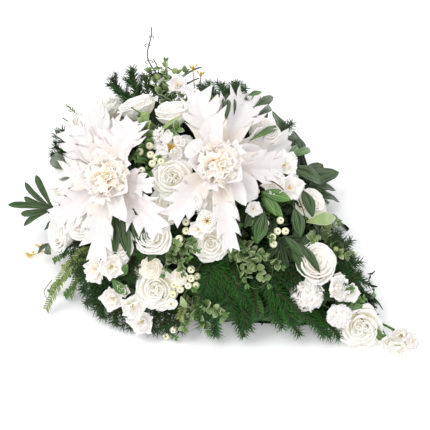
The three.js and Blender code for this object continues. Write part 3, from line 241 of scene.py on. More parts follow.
def newBall(segments, rings, rule):
    # a unit ball, each point moved by the rule, which also has its angle round the axis
    obj = primitive(bpy.ops.mesh.primitive_uv_sphere_add, segments=segments, ring_count=rings, radius=1)
    for vertex in obj.data.vertices:
        vertex.co = rule(*vertex.co, math.atan2(vertex.co.y, vertex.co.x))
    bpy.ops.object.shade_smooth()
    return obj


def aside(obj):
    obj.hide_render = True
    obj.hide_viewport = True
    return obj


def finish(obj, material):
    only(obj)
    bpy.ops.object.mode_set(mode="EDIT")
    bpy.ops.mesh.select_all(action="SELECT")
    bpy.ops.mesh.normals_make_consistent(inside=False)
    bpy.ops.object.mode_set(mode="OBJECT")
    obj.data.materials.clear()
    obj.data.materials.append(material)
    return aside(obj)


def joinAll(name, objects):
    for obj in objects:
        obj.hide_viewport = False
    only(*objects)
    if len(objects) > 1:
        bpy.ops.object.join()
    obj = bpy.context.view_layer.objects.active
    obj.name = name
    obj.data.name = name
    obj.hide_render = False
    return obj


def readAll(items, key, each=1, kind=float):
    values = np.empty(len(items) * each, kind)
    items.foreach_get(key, values)
    return values.reshape(-1, each) if each > 1 else values


def gather(name, sets):
    # one object of many copies: a set is a pattern with its places, each with a tone from 0 to 1
    rows, materials, offset = [], [], 0
    for pattern, places in sets:
        if not places:
            continue
        mesh = pattern.data
        own = readAll(mesh.vertices, "co", 3)
        loops = readAll(mesh.loops, "vertex_index", kind=np.int32)
        totals = readAll(mesh.polygons, "loop_total", kind=np.int32)
        uv = readAll(mesh.uv_layers[0].data, "uv", 2)
        materials += [m for m in mesh.materials if m not in materials]
        known = np.array([materials.index(m) for m in mesh.materials], np.int32)
        ids = known[readAll(mesh.polygons, "material_index", kind=np.int32)]
        for matrix, tone in places:
            m = np.array(matrix)
            spots = own @ m[:3, :3].T + m[:3, 3]
            rows.append((spots, loops + offset, totals, uv, ids, np.full(len(own), tone)))
            offset += len(own)
    coords, corners, sizes, uvs, indices, tones = (np.concatenate(parts) for parts in zip(*rows))
    mesh = bpy.data.meshes.new(name)
    mesh.vertices.add(len(coords))
    mesh.vertices.foreach_set("co", coords.ravel())
    mesh.loops.add(len(corners))
    mesh.loops.foreach_set("vertex_index", corners)
    mesh.polygons.add(len(sizes))
    mesh.polygons.foreach_set("loop_start", (np.cumsum(sizes) - sizes).astype(np.int32))
    for material in materials:
        mesh.materials.append(material)
    mesh.polygons.foreach_set("material_index", indices)
    mesh.polygons.foreach_set("use_smooth", np.ones(len(sizes), bool))
    mesh.uv_layers.new(name="UVMap").data.foreach_set("uv", uvs.ravel())
    mesh.attributes.new("tone", "FLOAT", "POINT").data.foreach_set("value", tones)
    mesh.update(calc_edges=True)
    return linked(name, mesh)


def linked(name, data):
    obj = bpy.data.objects.new(name, data)
    bpy.context.scene.collection.objects.link(obj)
    return obj


def tubes(name, paths, material, sides=1):
    # stems: each path has its points in millimetres and its radii at both ends
    line = bpy.data.curves.new(name, "CURVE")
    line.dimensions = "3D"
    line.bevel_depth = mm
    line.bevel_resolution = sides
    line.use_fill_caps = True
    for points, firstRadius, lastRadius in paths:
        spline = line.splines.new("POLY")
        spline.points.add(len(points) - 1)
        for i, (bead, point) in enumerate(zip(spline.points, points)):
            bead.co = (*(point * mm), 1)
            bead.radius = firstRadius + (lastRadius - firstRadius) * i / (len(points) - 1)
    only(linked(name, line))
    bpy.ops.object.convert(target="MESH")
    obj = bpy.context.object
    obj.data.materials.clear()
    obj.data.materials.append(material)
    bpy.ops.object.shade_smooth()
    return obj


def settle(obj, slot, *nodes):
    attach(obj, "root")
    if nodes:
        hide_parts(*nodes)
    points = readAll(obj.data.vertices, "co", 3)
    points[:, 2] = np.maximum(points[:, 2], floorGap)
    obj.data.vertices.foreach_set("co", points.ravel())
    obj.data.update()
    print("piece", obj.name, sum(len(p.vertices) - 2 for p in obj.data.polygons), "triangles")


def assemble(name, slot, nodes, sets, *stems):
    # copies and stems as one piece; a group of stems is its paths and its finish
    parts = [gather(name, sets)] + [tubes("stems", paths, plains[key]) for paths, key in stems if paths]
    settle(joinAll(name, parts), slot, *nodes)


# finishes
def newMaterial(name):
    material = bpy.data.materials.new(name)
    material.use_nodes = True
    return material, material.node_tree, material.node_tree.nodes["Principled BSDF"]


def fill(tree, node, inputs):
    for key, value in inputs.items():
        socket = node.inputs[key]
        if isinstance(value, bpy.types.NodeSocket):
            tree.links.new(value, socket)
        else:
            socket.default_value = (*value, 1) if socket.type == "RGBA" else value


def addNode(tree, kind, inputs, **own):
    node = tree.nodes.new("ShaderNode" + kind)
    for key, value in own.items():
        setattr(node, key, value)
    fill(tree, node, inputs)
    return node.outputs


def lightOf(shade):
    # a screen code, a grey or a colour as light
    if not isinstance(shade, str):
        return shade if isinstance(shade, tuple) else (shade,) * 3
    values = [int(shade[i : i + 2], 16) / 255 for i in (1, 3, 5)]
    return tuple(v / 12.92 if v <= 0.04045 else ((v + 0.055) / 1.055) ** 2.4 for v in values)


def ramp(tree, value, *stops):
    node = tree.nodes.new("ShaderNodeValToRGB")
    elements = node.color_ramp.elements
    while len(elements) < len(stops):
        elements.new(0.5)
    for element, (position, shade) in zip(elements, stops):
        element.position = position
        element.color = (*lightOf(shade), 1)
    fill(tree, node, {0: value})
    return node.outputs[0]


def mixColors(tree, factor, a, b, kind="MIX"):
    return addNode(tree, "Mix", {0: factor, 6: a, 7: b}, data_type="RGBA", blend_type=kind)[2]


def noise(tree, vector, scale, detail):
    return addNode(tree, "TexNoise", {"Vector": vector, "Scale": scale, "Detail": detail, "Roughness": 0.55})["Fac"]


def stretched(tree, vector, scale):
    return addNode(tree, "Mapping", {"Vector": vector, "Scale": scale})["Vector"]


def times(tree, value, factor):
    return addNode(tree, "Math", {0: value, 1: factor}, operation="MULTIPLY")[0]


def toneTimes(tree, factor):
    return times(tree, addNode(tree, "Attribute", {}, attribute_name="tone")["Fac"], factor)


def fillSurface(tree, shader, color, height, look):
    relief = {"Height": height, "Strength": look["bump"], "Distance": look["depth"]}
    fill(tree, shader, {
        "Base Color": color, "Normal": addNode(tree, "Bump", relief)["Normal"],
        "Roughness": look["roughness"], "Specular IOR Level": look["specular"],
    })


def bladeMaterial(name, settings):
    # petals and leaves: colour along and across the blade, a shade for each copy, veins and gloss
    look = {**bladeBasics, **settings}
    material, tree, shader = newMaterial(name)
    where = addNode(tree, "TexCoord", {})
    split = addNode(tree, "SeparateXYZ", {0: where["UV"]})
    offRib = addNode(tree, "Math", {0: split["Y"], 1: 0.5}, operation="SUBTRACT")[0]
    offRib = addNode(tree, "Math", {0: offRib}, operation="ABSOLUTE")[0]
    color = ramp(tree, split["X"], *look["along"])
    color = mixColors(tree, toneTimes(tree, look["otherShare"]), color, lightOf(look["other"]))
    cloud = ramp(tree, noise(tree, where["Object"], look["cloudScale"], 3), (0.3, 0.45), (0.7, 1.25))
    color = mixColors(tree, look["cloud"], color, cloud, "MULTIPLY")
    # painted light streaks along the blade: painted shade lines on the white petals, painted highlights on the leaves
    if "paintedLightStreak" in look:
        paintedLightLines = noise(tree, stretched(tree, where["UV"], look["paintedLightStreakScale"]), 1.0, 3)
        share = times(tree, ramp(tree, paintedLightLines, (0.42, 0.0), (0.62, 1.0)), look["paintedLightStreakShare"])
        color = mixColors(tree, share, color, lightOf(look["paintedLightStreak"]))
    if "rim" in look:
        edge = ramp(tree, offRib, (0.0, 0.0), (0.4, 0.0), (0.5, 1.0))
        color = mixColors(tree, times(tree, edge, look["rimShare"]), color, lightOf(look["rim"]))
    if "midrib" in look:
        rib = ramp(tree, offRib, (0.0, 1.0), (0.035, 0.3), (0.07, 0.0))
        color = mixColors(tree, times(tree, rib, 0.7), color, lightOf(look["midrib"]))
    grain = noise(tree, stretched(tree, where["UV"], look["veins"]), 1.6, 4)
    height = mixColors(tree, look["fine"], grain, noise(tree, where["Object"], look["grainScale"], 2), "ADD")
    fillSurface(tree, shader, color, height, look)
    if "sheen" in look:
        fill(tree, shader, {"Sheen Weight": look["sheen"], "Sheen Roughness": 0.5, "Sheen Tint": (1, 1, 1)})
    # the blade emits its own colour: a painted glow that lightens its shade
    if "lift" in look:
        fill(tree, shader, {"Emission Color": color, "Emission Strength": look["lift"]})
    if "glow" in look:
        depth = {"Subsurface Radius": (1, 0.9, 0.85), "Subsurface Scale": 0.004}
        fill(tree, shader, {"Subsurface Weight": look["glow"], **depth})
    return material


def grainMaterial(name, settings):
    # stems, bark, foam and berries: two colours in a cloud, with grain
    look = {**grainBasics, "other": settings["light"], **settings}
    material, tree, shader = newMaterial(name)
    where = addNode(tree, "TexCoord", {})["Object"]
    color = ramp(tree, noise(tree, where, look["cloudScale"], 4), (0.35, look["dark"]), (0.65, look["light"]))
    color = mixColors(tree, toneTimes(tree, 0.5), color, lightOf(look["other"]))
    fillSurface(tree, shader, color, noise(tree, stretched(tree, where, look["stretch"]), look["grainScale"], 4), look)
    return material


bladeBasics = {
    "otherShare": 0.6, "cloud": 0.2, "cloudScale": 60, "rimShare": 0.7, "veins": (3, 34, 1), "grainScale": 1800,
    "fine": 0.35, "bump": 0.5, "depth": 0.0006, "roughness": 0.6, "specular": 0.4,
}
grainBasics = {
    "cloudScale": 120, "stretch": (1, 1, 1), "grainScale": 900, "bump": 0.5, "depth": 0.0006, "roughness": 0.75,
    "specular": 0.35,
}
# lift in a finish is a painted glow: those petals emit their own colour to lighten their shade
finishes = {
    # the grey streaks on the white petals are painted shade
    "velvet petal": {
        "along": [(0, "#ecd4ae"), (0.14, "#f3e6d2"), (0.36, "#f3ede7"), (1, "#f5f1f0")], "other": "#ede6e7",
        "otherShare": 0.5, "paintedLightStreak": "#d9ced5", "paintedLightStreakScale": (0.5, 5, 1), "paintedLightStreakShare": 0.4, "cloud": 0.06,
        "cloudScale": 22, "veins": (1.4, 22, 1), "bump": 0.3, "depth": 0.001, "roughness": 0.85, "specular": 0.1,
        "sheen": 0.15, "glow": 0.2,
    },
    "cream heart": {
        "along": [(0, "#dba768"), (0.22, "#f0d6b2"), (0.45, "#f8ecdc"), (1, "#fcf7f1")], "other": "#f7ead9",
        "otherShare": 0.5, "cloud": 0.05, "veins": (2, 12, 1), "bump": 0.3, "roughness": 0.75, "specular": 0.15,
        "sheen": 0.15, "glow": 0.5, "lift": 0.12,
    },
    "rose petal": {
        "along": [(0, "#bdb070"), (0.28, "#ded6b4"), (0.55, "#f0ebdf"), (1, "#fbfaf8")], "other": "#f4f0ea",
        "otherShare": 0.5, "cloud": 0.04, "veins": (2, 14, 1), "bump": 0.2, "roughness": 0.55, "specular": 0.25,
        "sheen": 0.1, "glow": 0.35, "lift": 0.14,
    },
    "blossom petal": {
        "along": [(0, "#dcd9a0"), (0.25, "#f3f0e6"), (1, "#fbf9f6")], "other": "#f2eeee", "otherShare": 0.7,
        "paintedLightStreak": "#e6e0dc", "paintedLightStreakScale": (0.8, 9, 1), "paintedLightStreakShare": 0.35, "cloud": 0.08, "veins": (2, 12, 1),
        "bump": 0.45, "depth": 0.0007, "roughness": 0.55, "specular": 0.3, "sheen": 0.1, "glow": 0.3, "lift": 0.13,
    },
    "ranunculus petal": {
        "along": [(0, "#dd9a3a"), (0.3, "#f0e0ba"), (0.55, "#f7f3e8"), (1, "#fbf9f4")], "other": "#f6f1e4",
        "otherShare": 0.7, "cloud": 0.05, "veins": (2, 16, 1), "bump": 0.3, "depth": 0.0005, "roughness": 0.55,
        "glow": 0.35, "lift": 0.14,
    },
    # the pale lengthwise streaks on the dark and fresh leaves are painted highlights
    "dark leaf": {
        "along": [(0, "#143006"), (0.5, "#1f440a"), (1, "#2f5c12")], "other": "#0f2805", "otherShare": 0.8,
        "midrib": "#6f9050", "paintedLightStreak": "#b4c4a4", "paintedLightStreakScale": (0.7, 8, 1), "paintedLightStreakShare": 0.26, "cloud": 0.5,
        "cloudScale": 90, "veins": (14, 6, 1), "bump": 0.7, "depth": 0.0014, "roughness": 0.3, "specular": 0.22,
        "fine": 0.1,
    },
    "fresh leaf": {
        "along": [(0, "#33601a"), (0.5, "#40751f"), (1, "#669634")], "other": "#235014", "otherShare": 0.7,
        "midrib": "#b9cc8c", "paintedLightStreak": "#b3c59a", "paintedLightStreakScale": (0.6, 9, 1), "paintedLightStreakShare": 0.3, "cloud": 0.3,
        "veins": (14, 6, 1), "roughness": 0.45, "specular": 0.35, "fine": 0.1,
    },
    "pale leaf": {
        "along": [(0, "#8ba25e"), (0.5, "#a3b97e"), (1, "#c3d2a2")], "other": "#7d9a5e", "rim": "#e4ead0",
        "cloud": 0.25, "veins": (14, 6, 1), "roughness": 0.55, "specular": 0.35, "fine": 0.1,
    },
    "eucalyptus leaf": {
        "along": [(0, "#6f8844"), (0.5, "#869c62"), (1, "#b4c594")], "other": "#40602b", "otherShare": 0.8,
        "rim": "#e6edcc", "rimShare": 0.75, "cloud": 0.35, "cloudScale": 140, "veins": (10, 6, 1), "bump": 0.4,
        "roughness": 0.55, "specular": 0.3, "fine": 0.15,
    },
    "fern leaf": {
        "along": [(0, "#7f8f46"), (0.5, "#95a45e"), (1, "#b3bf82")], "other": "#76894a", "otherShare": 0.7,
        "cloud": 0.25, "veins": (16, 8, 1), "roughness": 0.65, "specular": 0.25, "fine": 0.1,
    },
    # needle colour runs from near black at the root to pale at the tip; the pale tips are painted highlights
    "pine needle": {
        "along": [(0, "#071404"), (0.3, "#123a0a"), (0.7, "#2f741e"), (1, "#98bc7a")], "other": "#16400d",
        "otherShare": 0.75, "cloud": 0.8, "cloudScale": 420, "veins": (2, 6, 1), "bump": 0.3, "roughness": 0.35,
        "fine": 0,
    },
    "bright needle": {
        "along": [(0, "#041403"), (0.36, "#104608"), (0.72, "#379a1b"), (1, "#b2e288")], "other": "#154c0b",
        "otherShare": 0.8, "cloud": 0.8, "cloudScale": 380, "veins": (2, 6, 1), "bump": 0.3, "roughness": 0.35,
        "fine": 0,
    },
    "moss leaf": {
        "along": [(0, "#0d1a0b"), (0.6, "#1d3316"), (1, "#35502a")], "other": "#12240f", "otherShare": 0.8,
        "cloud": 0.5, "cloudScale": 50, "veins": (8, 6, 1), "specular": 0.25, "fine": 0.1,
    },
}
grains = {
    "green stem": {"dark": "#3a5426", "light": "#6b8a42", "stretch": (1, 1, 0.2), "grainScale": 500, "roughness": 0.6},
    "brown twig": {"dark": "#3f2318", "light": "#7a4630", "stretch": (1, 1, 0.3), "grainScale": 700, "roughness": 0.8},
    "willow bark": {"dark": "#36422c", "light": "#67764c", "stretch": (1, 1, 0.3), "grainScale": 700, "roughness": 0.8},
    "yellow twig": {"dark": "#dcae46", "light": "#f6dc86", "other": "#dfd368", "grainScale": 600, "roughness": 0.6},
    "berry skin": {
        "dark": "#ebe8c2", "light": "#fbf7e6", "other": "#eeecc0", "cloudScale": 90, "grainScale": 600, "bump": 0.15,
        "roughness": 0.35, "specular": 0.5,
    },
    "berry eye": {"dark": "#2c180f", "light": "#5a3826", "roughness": 0.9},
    "stamen": {"dark": "#5a3428", "light": "#8a5c44", "roughness": 0.8},
    "pollen": {"dark": "#d9a53a", "light": "#f0d57c", "bump": 0.8, "roughness": 0.9},
    "green eye": {"dark": "#7d9c3a", "light": "#b4c468", "bump": 0.8, "roughness": 0.8},
    "pod skin": {"dark": "#74884a", "light": "#a3b274", "grainScale": 700, "bump": 0.9, "roughness": 0.7},
    # the foam is coloured near black, as painted shade where it shows between the flowers
    "foam in painted shade": {
        "dark": "#10190c", "light": "#1e2c15", "cloudScale": 60, "grainScale": 700, "bump": 1, "depth": 0.0015,
        "roughness": 0.98, "specular": 0.1,
    },
}
blades = {name: bladeMaterial(name, settings) for name, settings in finishes.items()}
plains = {name: grainMaterial(name, settings) for name, settings in grains.items()}
print("finishes made:", len(blades) + len(plains))

# the two blooms: long toothed petals drawn down over the mound, a ring of short folded ones, a crimped heart
bloomSettings = {
    "thickness": 0.9, "pleats": 2, "pleatDepth": 1.3, "fold": 0.2, "ruffle": 3.0,
    "short": 5, "shortInner": (34, (36, 0, 34)), "shortOuter": (44, (54, 0, 24)), "raise": 24, "heart": 37,
    # rings of the heart: share of its radius, petals and lean
    "rings": [(0.04, 3, 6), (0.18, 6, 18), (0.34, 8, 30), (0.5, 9, 44), (0.64, 10, 60), (0.76, 11, 76), (0.82, 9, 92)],
}
bloomPlaces = {
    # petals: the place of the tip and the width
    "bloom_left": {
        "at": (110, 178), "foot": (-59, -97, 179), "smooth": [], "narrow": [(84, 130, 56), (126, 222, 40)],
        "petals": [
            (155, 186, 48), (138, 121, 74), (113, 117, 60), (90, 111, 84), (65, 127, 66), (58, 180, 66), (54, 221, 76),
            (99, 262, 58), (163, 234, 72),
        ],
    },
    "bloom_right": {
        "at": (216, 165), "foot": (58, -16, 206), "smooth": [3, 6],
        "narrow": [(210, 118, 46), (262, 150, 42), (246, 206, 34)],
        "petals": [
            (292, 142, 82), (249, 93, 82), (197, 89, 82), (186, 146, 44), (168, 221, 60), (231, 253, 48),
            (257, 198, 60), (284, 170, 60),
        ],
    },
}


def sawRows(teeth, first, widest):
    # rows of an outline with pointed teeth: share of the length, half width, lead of the rims and their rise
    rows = [(0.0, 0.14, 0, 0), (first * 0.6, 0.3, 0, 0.01)]
    step = (0.93 - first) / teeth
    for k in range(teeth):
        share = first + k * step
        middle = share + step * 0.5
        after = math.pi * (0.5 + 0.5 * (middle - widest) / (1.06 - widest))
        full = math.sin(math.pi * min(0.5 * middle / widest, 1) if middle < widest else after)
        rows.append((share, full * 0.8, 0, 0.03 * full))
        rows.append((share + step * 0.4, full * 0.98, step * 0.25, 0.06 * full))
        rows.append((share + step * 0.66, full * 1.1, step * 0.75, 0.09 * full))
    return rows + [(0.94, 0.16, 0, 0.02), (1.0, 0.012, 0, 0)]


toothedRows = sawRows(4, 0.26, 0.55)
shortRows = sawRows(3, 0.3, 0.55)
pointedRows = [
    (0, 0.2, 0, 0), (0.2, 0.52, 0, 0.02), (0.42, 0.9, 0, 0.08), (0.6, 1, 0, 0.12), (0.78, 0.8, 0, 0.12),
    (0.92, 0.36, 0, 0.06), (1, 0.03, 0, 0),
]
smoothRows = [
    (0, 0.12, 0, 0), (0.15, 0.42, 0, 0.02), (0.35, 0.75, 0, 0.06), (0.55, 0.92, 0, 0.1), (0.72, 0.9, 0, 0.14),
    (0.88, 0.6, 0, 0.1), (1, 0.05, 0, 0.05),
]


def rowAt(rows, share):
    for low, high in zip(rows[:-1], rows[1:]):
        if share <= high[0] + 1e-9:
            part = (share - low[0]) / (high[0] - low[0])
            return [a + (b - a) * part for a, b in zip(low, high)]
    return list(rows[-1])


def longPetal(start, end, over, width, rows, arch, curl, seed):
    dice = random.Random(seed)
    look = bloomSettings
    length = (end - start).length
    stray = {side: [0.82 + 0.3 * dice.random() for _ in rows] for side in (-1, 1)}
    phase = dice.random() * 6.28
    last = len(rows) - 1

    def rule(x, t):
        # the grid's rows are drawn to the rows of the outline, two between each pair
        k = min(int(x * last), last - 1)
        part = x * last - k
        share = rows[k][0] + (rows[k + 1][0] - rows[k][0]) * part
        row = rowAt(rows, share)
        side = -1 if t < 0 else 1
        wide = stray[side][k] + (stray[side][k + 1] - stray[side][k]) * part
        edge = abs(t)
        body = math.sin(math.pi * min(share * 1.1, 1))
        z = arch * math.sin(math.pi * share) + curl * share**2 + row[3] * width * edge**1.7
        z += look["fold"] * width * (edge**0.8 - 0.6) * body
        z += look["pleatDepth"] * math.cos(t * math.pi * look["pleats"] + phase) * body * (0.3 + 0.7 * edge)
        z += look["ruffle"] * math.sin(share * 9 + phase * 2 + side * 1.3) * edge**2 * body
        y = t * row[1] * wide / 2 + 0.05 * math.sin(share * 5 + phase) * body
        return Vector((share + row[2] * edge**1.6, y, z / length))

    sheet = newBlade(2 * last, 10, rule, look["thickness"] * mm, bladeAt(start, end, over, width))
    sheet.data.materials.append(blades["velvet petal"])
    mark = sheet.data.attributes.new("tone", "FLOAT", "POINT")
    mark.data.foreach_set("value", [dice.random()] * len(sheet.data.vertices))
    return sheet


def crimpedPetal(seed):
    # a petal of the heart, standing along x, its rim crimped, notched and curled
    dice = random.Random(seed)
    phase, waves, curl = dice.random() * 6, dice.uniform(1.6, 2.6), dice.uniform(-0.5, 0.35)

    def rule(x, t):
        wide = 0.3 + 0.7 * x**0.8
        rim = 1 - 0.25 * t * t + 0.1 * math.sin(t * 11 + phase) * x
        z = -0.3 * t * t * x + 0.12 * math.sin(t * math.pi * waves + phase) * x**1.3 + curl * x**3
        return Vector((x * rim, t * wide / 2 * (1 - 0.25 * abs(curl) * x**3), z))

    return finish(newBlade(7, 12, rule, 0.02), blades["cream heart"])


crimped = [crimpedPetal(40 + i) for i in range(7)]


def heartOf(name, centre, axis, radius, seed):
    # rings of crimped petals that lean out more and more, in uneven tufts
    dice = random.Random(seed)
    sets = {pattern: [] for pattern in crimped}
    for share, count, lean in bloomSettings["rings"]:
        for i in range(count):
            angle = (i + dice.random() * 0.8) / count * math.tau + share * 9
            out = outAt(axis, math.degrees(angle))
            tilt = math.radians(lean + dice.uniform(-16, 16))
            way = (axis * math.cos(tilt) + out * math.sin(tilt)).normalized()
            reach = radius * dice.uniform(0.32, 0.52) * (0.9 + 0.35 * math.sin(share * 4))
            root = centre + out * radius * share * 0.85 + axis * radius * (0.16 * (1 - share) - 0.2)
            over = spun(out * math.cos(tilt) - axis * math.sin(tilt), way, dice.uniform(-0.8, 0.8))
            wide = reach * dice.uniform(0.85, 1.4)
            pattern = crimped[dice.randrange(len(crimped))]
            sets[pattern].append((bladeAt(root, root + way * reach, -over, wide, reach), dice.random()))
    return gather(name, list(sets.items()))


def makeBloom(name, spec):
    look = bloomSettings
    spot, normal = place(spec["at"], 26)
    axis = normal.lerp(toViewer, 0.55).normalized()

    def outTo(end):
        out = end - spot
        return (out - axis * out.dot(axis)).normalized()

    petals = []
    for i, (*tip, width) in enumerate(spec["petals"]):
        end = place(tip, 10)[0]
        start = spot + outTo(end) * 3 + axis * (-3 if i % 2 else -10)
        rows = smoothRows if i in spec["smooth"] else toothedRows
        petals.append(longPetal(start, end, axis, width, rows, 17 if i % 2 else 7, 0, i * 3 + 1))
    for i, (*tip, width) in enumerate(spec["narrow"]):
        end = place(tip, 24)[0]
        petals.append(longPetal(spot + outTo(end) * 4, end, axis, width, pointedRows, 9, 2, i * 5 + 2))
    for i in range(look["short"] * 2):
        inner = i >= look["short"]
        width, tip = look["shortInner" if inner else "shortOuter"]
        turned = frameAt(spot, axis, (i + (0 if inner else 0.5)) / look["short"] * 360, 1)
        start, end = (turned @ Vector(at) / mm for at in ((11, 0, -1), tip))
        petals.append(longPetal(start, end, axis, width, pointedRows if inner or i % 3 else shortRows, 4, 4, i + 20))
    cup = tubes("cup", [([spot - axis * 17, spot - axis * 2], 5, 12)], blades["velvet petal"], 3)
    stem = tubes("stem", [([spot - axis * 8, Vector(spec["foot"])], 4, 4)], plains["green stem"], 3)
    settle(joinAll(name + "_petals_fine", petals + [cup, stem]), "petal", name + "_petals")
    heart = heartOf(name + "_heart_fine", spot + axis * look["raise"], axis, look["heart"], 5)
    peg = tubes("peg", [([spot - axis * 8, spot + axis * (look["raise"] + 2)], 4, 6)], blades["cream heart"], 2)
    settle(joinAll(name + "_heart_fine", [heart, peg]), "heart", name + "_heart")


for bloomName, bloomSpec in bloomPlaces.items():
    makeBloom(bloomName, bloomSpec)
print("blooms made")

# roses: layers of cupped petals round a rolled heart, patterns at a radius of 1
rosePatterns = {
    # petals in the layer, radius and height of the rim, half span in degrees, how far the rim rolls back
    "roseFull": [
        (3, 0.4, 0.45, 90, 0.4), (4, 0.5, 0.43, 76, 0.8), (4, 0.64, 0.37, 70, 1.2), (4, 0.8, 0.25, 62, 1.8),
        (5, 0.95, 0.04, 52, 2.3),
    ],
    "roseOpen": [
        (2, 0.06, 0.26, 150, 0.1), (3, 0.16, 0.32, 105, 0.4), (3, 0.3, 0.37, 84, 0.8), (4, 0.48, 0.35, 66, 1.2),
        (4, 0.7, 0.26, 62, 1.8), (5, 0.93, 0.04, 50, 2.4),
    ],
    "roseLoose": [
        (3, 0.36, 0.46, 96, 0.4), (3, 0.5, 0.43, 90, 0.9), (3, 0.66, 0.34, 88, 1.5), (4, 0.82, 0.2, 68, 2.1),
        (4, 0.95, 0.02, 60, 2.6),
    ],
    "roseCupped": [
        (2, 0.06, 0.34, 150, 0.1), (3, 0.14, 0.4, 105, 0.3), (3, 0.28, 0.45, 90, 0.7), (3, 0.48, 0.46, 88, 1.2),
        (4, 0.7, 0.4, 74, 1.6), (4, 0.9, 0.26, 68, 2),
    ],
    "roseTall": [
        (2, 0.06, 0.5, 150, 0.1), (3, 0.14, 0.55, 108, 0.3), (3, 0.25, 0.58, 96, 0.5), (3, 0.38, 0.58, 92, 0.8),
        (3, 0.52, 0.55, 92, 1), (3, 0.67, 0.5, 90, 1.3), (4, 0.8, 0.44, 76, 1.6), (4, 0.92, 0.32, 70, 1.8),
    ],
    "ranunculus": [
        (3, 0.12, 0.3, 150, 0.1), (4, 0.24, 0.37, 80, 0.3), (5, 0.38, 0.39, 64, 0.5), (6, 0.54, 0.35, 54, 0.7),
        (6, 0.74, 0.24, 50, 1), (7, 0.96, -0.02, 44, 1.2),
    ],
}
# swirls that stand side by side in the heart of some: how many, and the radius, height and half span of their petals
roseFolds = {"roseFull": 4, "roseLoose": 3}
foldPetals = [(0.08, 0.35, 140), (0.17, 0.41, 105), (0.21, 0.38, 95), (0.26, 0.43, 75)]


def wrappedPetal(turn, rim, height, half, roll, seed, material):
    # one petal round the rose's axis: its rim falls to both sides, rolls back and waves
    dice = random.Random(seed)
    phase = dice.random() * 6
    fall, dent = dice.uniform(0.3, 0.42), dice.uniform(0.0, 0.05)
    tilt = Matrix.Rotation(dice.uniform(-0.11, 0.11), 3, "X") @ Matrix.Rotation(dice.uniform(-0.11, 0.11), 3, "Y")

    def rule(x, t):
        v = x * (1 - fall * abs(t) ** 2.6 - dent * (1 - abs(t)) ** 3)
        angle = turn + math.radians(half) * t * (0.6 + 0.4 * min(v * 1.5, 1))
        rise = min(v / 0.74, 1)
        radius = 0.06 + (rim - 0.06) * math.sin(rise * math.pi / 2) ** 1.1
        z = -0.6 + (height + 0.6) * (1 - math.cos(rise * math.pi / 2)) ** 0.8
        back = max(0.0, (v - 0.6) / 0.4)
        wave = (math.sin(t * 4.4 + phase) + 0.5 * math.sin(t * 9.5 + phase * 2)) * 0.045 * back * (0.4 + rim)
        radius += roll * 0.075 * back**1.5 + wave
        z -= roll * 0.05 * back**2.4 + wave * 0.6
        radius *= 1 - 0.1 * t
        return tilt @ Vector((math.cos(angle) * radius, math.sin(angle) * radius, z))

    return finish(newBlade(8, 8, rule, 0.016), material)


def rosePattern(name, layers, material, seed, folds):
    dice = random.Random(seed)
    petals = []
    for k in range(folds):
        around = k / folds * math.tau + 0.4
        sideways = Matrix.Translation((math.cos(around) * 0.2, math.sin(around) * 0.2, 0))
        for i, (rim, height, half) in enumerate(foldPetals):
            turn = around + i * 2.3 + dice.uniform(-0.3, 0.3)
            height += dice.uniform(-0.04, 0.03)
            petals.append(wrappedPetal(turn, rim, height, half, 0.3, dice.random(), material))
            petals[-1].data.transform(sideways)
    for k, (count, rim, height, half, roll) in enumerate(layers):
        for i in range(count):
            turn = (i / count) * math.tau + 0.6 * (k + 1) + dice.uniform(-0.12, 0.12)
            wide, high = rim * dice.uniform(0.92, 1.05), height + dice.uniform(-0.06, 0.04)
            span = half * dice.uniform(0.9, 1.1)
            petals.append(wrappedPetal(turn, wide, high, span, roll, dice.random(), material))
    return aside(joinAll(name, petals))


roseKinds = {}
for number, (kindName, kindLayers) in enumerate(rosePatterns.items()):
    petalFinish = blades["ranunculus petal" if kindName == "ranunculus" else "rose petal"]
    roseKinds[kindName] = rosePattern(kindName, kindLayers, petalFinish, number + 3, roseFolds.get(kindName, 0))
print("rose patterns made")


def receptacle(radius, depth, material, rise=0.0):
    # the cup under a head or the eye in it, closed and slightly ribbed
    def rule(x, y, z, angle):
        grow = radius * (1 + 0.08 * math.cos(angle * 5)) * (1 - 0.35 * max(0.0, -z))
        return Vector((x * grow, y * grow, z * depth))

    cup = finish(newBall(10, 7, rule), material)
    cup.data.transform(Matrix.Translation((0, 0, rise)))
    return cup


roseCup = receptacle(0.3, 0.2, plains["green stem"])

# small flowers: florets of a few petals with their eyes, buds, berries
floretBasics = {"grid": (6, 7), "frill": 0.08, "eyeFinish": "pollen", "stamens": 0, "stamenFinish": "pollen"}
floretSettings = {
    # rows: petals, their size and how far they stand up
    "azalea": {
        "rows": [(5, 1, 0.2), (3, 0.8, 0.75)], "reach": 0.86, "width": 0.56, "cup": 0.35, "notch": -0.26, "frill": 0.05,
        "eye": 0.06, "stamens": 3, "stamenLength": 0.4,
    },
    "brownEyed": {
        "rows": [(5, 1, 0), (4, 0.75, 0.4)], "reach": 0.98, "width": 0.6, "cup": 0.25, "notch": 0.06, "eye": 0.1,
        "eyeFinish": "stamen", "stamens": 9, "stamenLength": 0.6, "stamenFinish": "stamen",
    },
    "greenEyed": {
        "rows": [(5, 1, 0)], "reach": 0.98, "width": 0.56, "cup": 0.2, "notch": 0.06, "eye": 0.12,
        "eyeFinish": "green eye", "stamens": 4, "stamenLength": 0.35,
    },
    "orchid": {
        "rows": [(5, 1, 0.25), (3, 0.6, 0.85)], "reach": 0.92, "width": 0.58, "cup": 0.3, "notch": -0.14, "frill": 0.1,
        "eye": 0.1, "stamens": 2, "stamenLength": 0.25,
    },
    "freesia": {
        "rows": [(5, 1, 0.2), (3, 0.8, 0.5)], "reach": 0.95, "width": 0.46, "cup": 0.6, "notch": 0, "eye": 0.12,
        "stamens": 3, "stamenLength": 0.5,
    },
    "hydrangea": {
        "grid": (4, 4), "rows": [(4, 1, 0)], "reach": 0.98, "width": 0.72, "cup": 0.12, "notch": 0.1, "eye": 0.07,
        "eyeFinish": "green eye",
    },
}


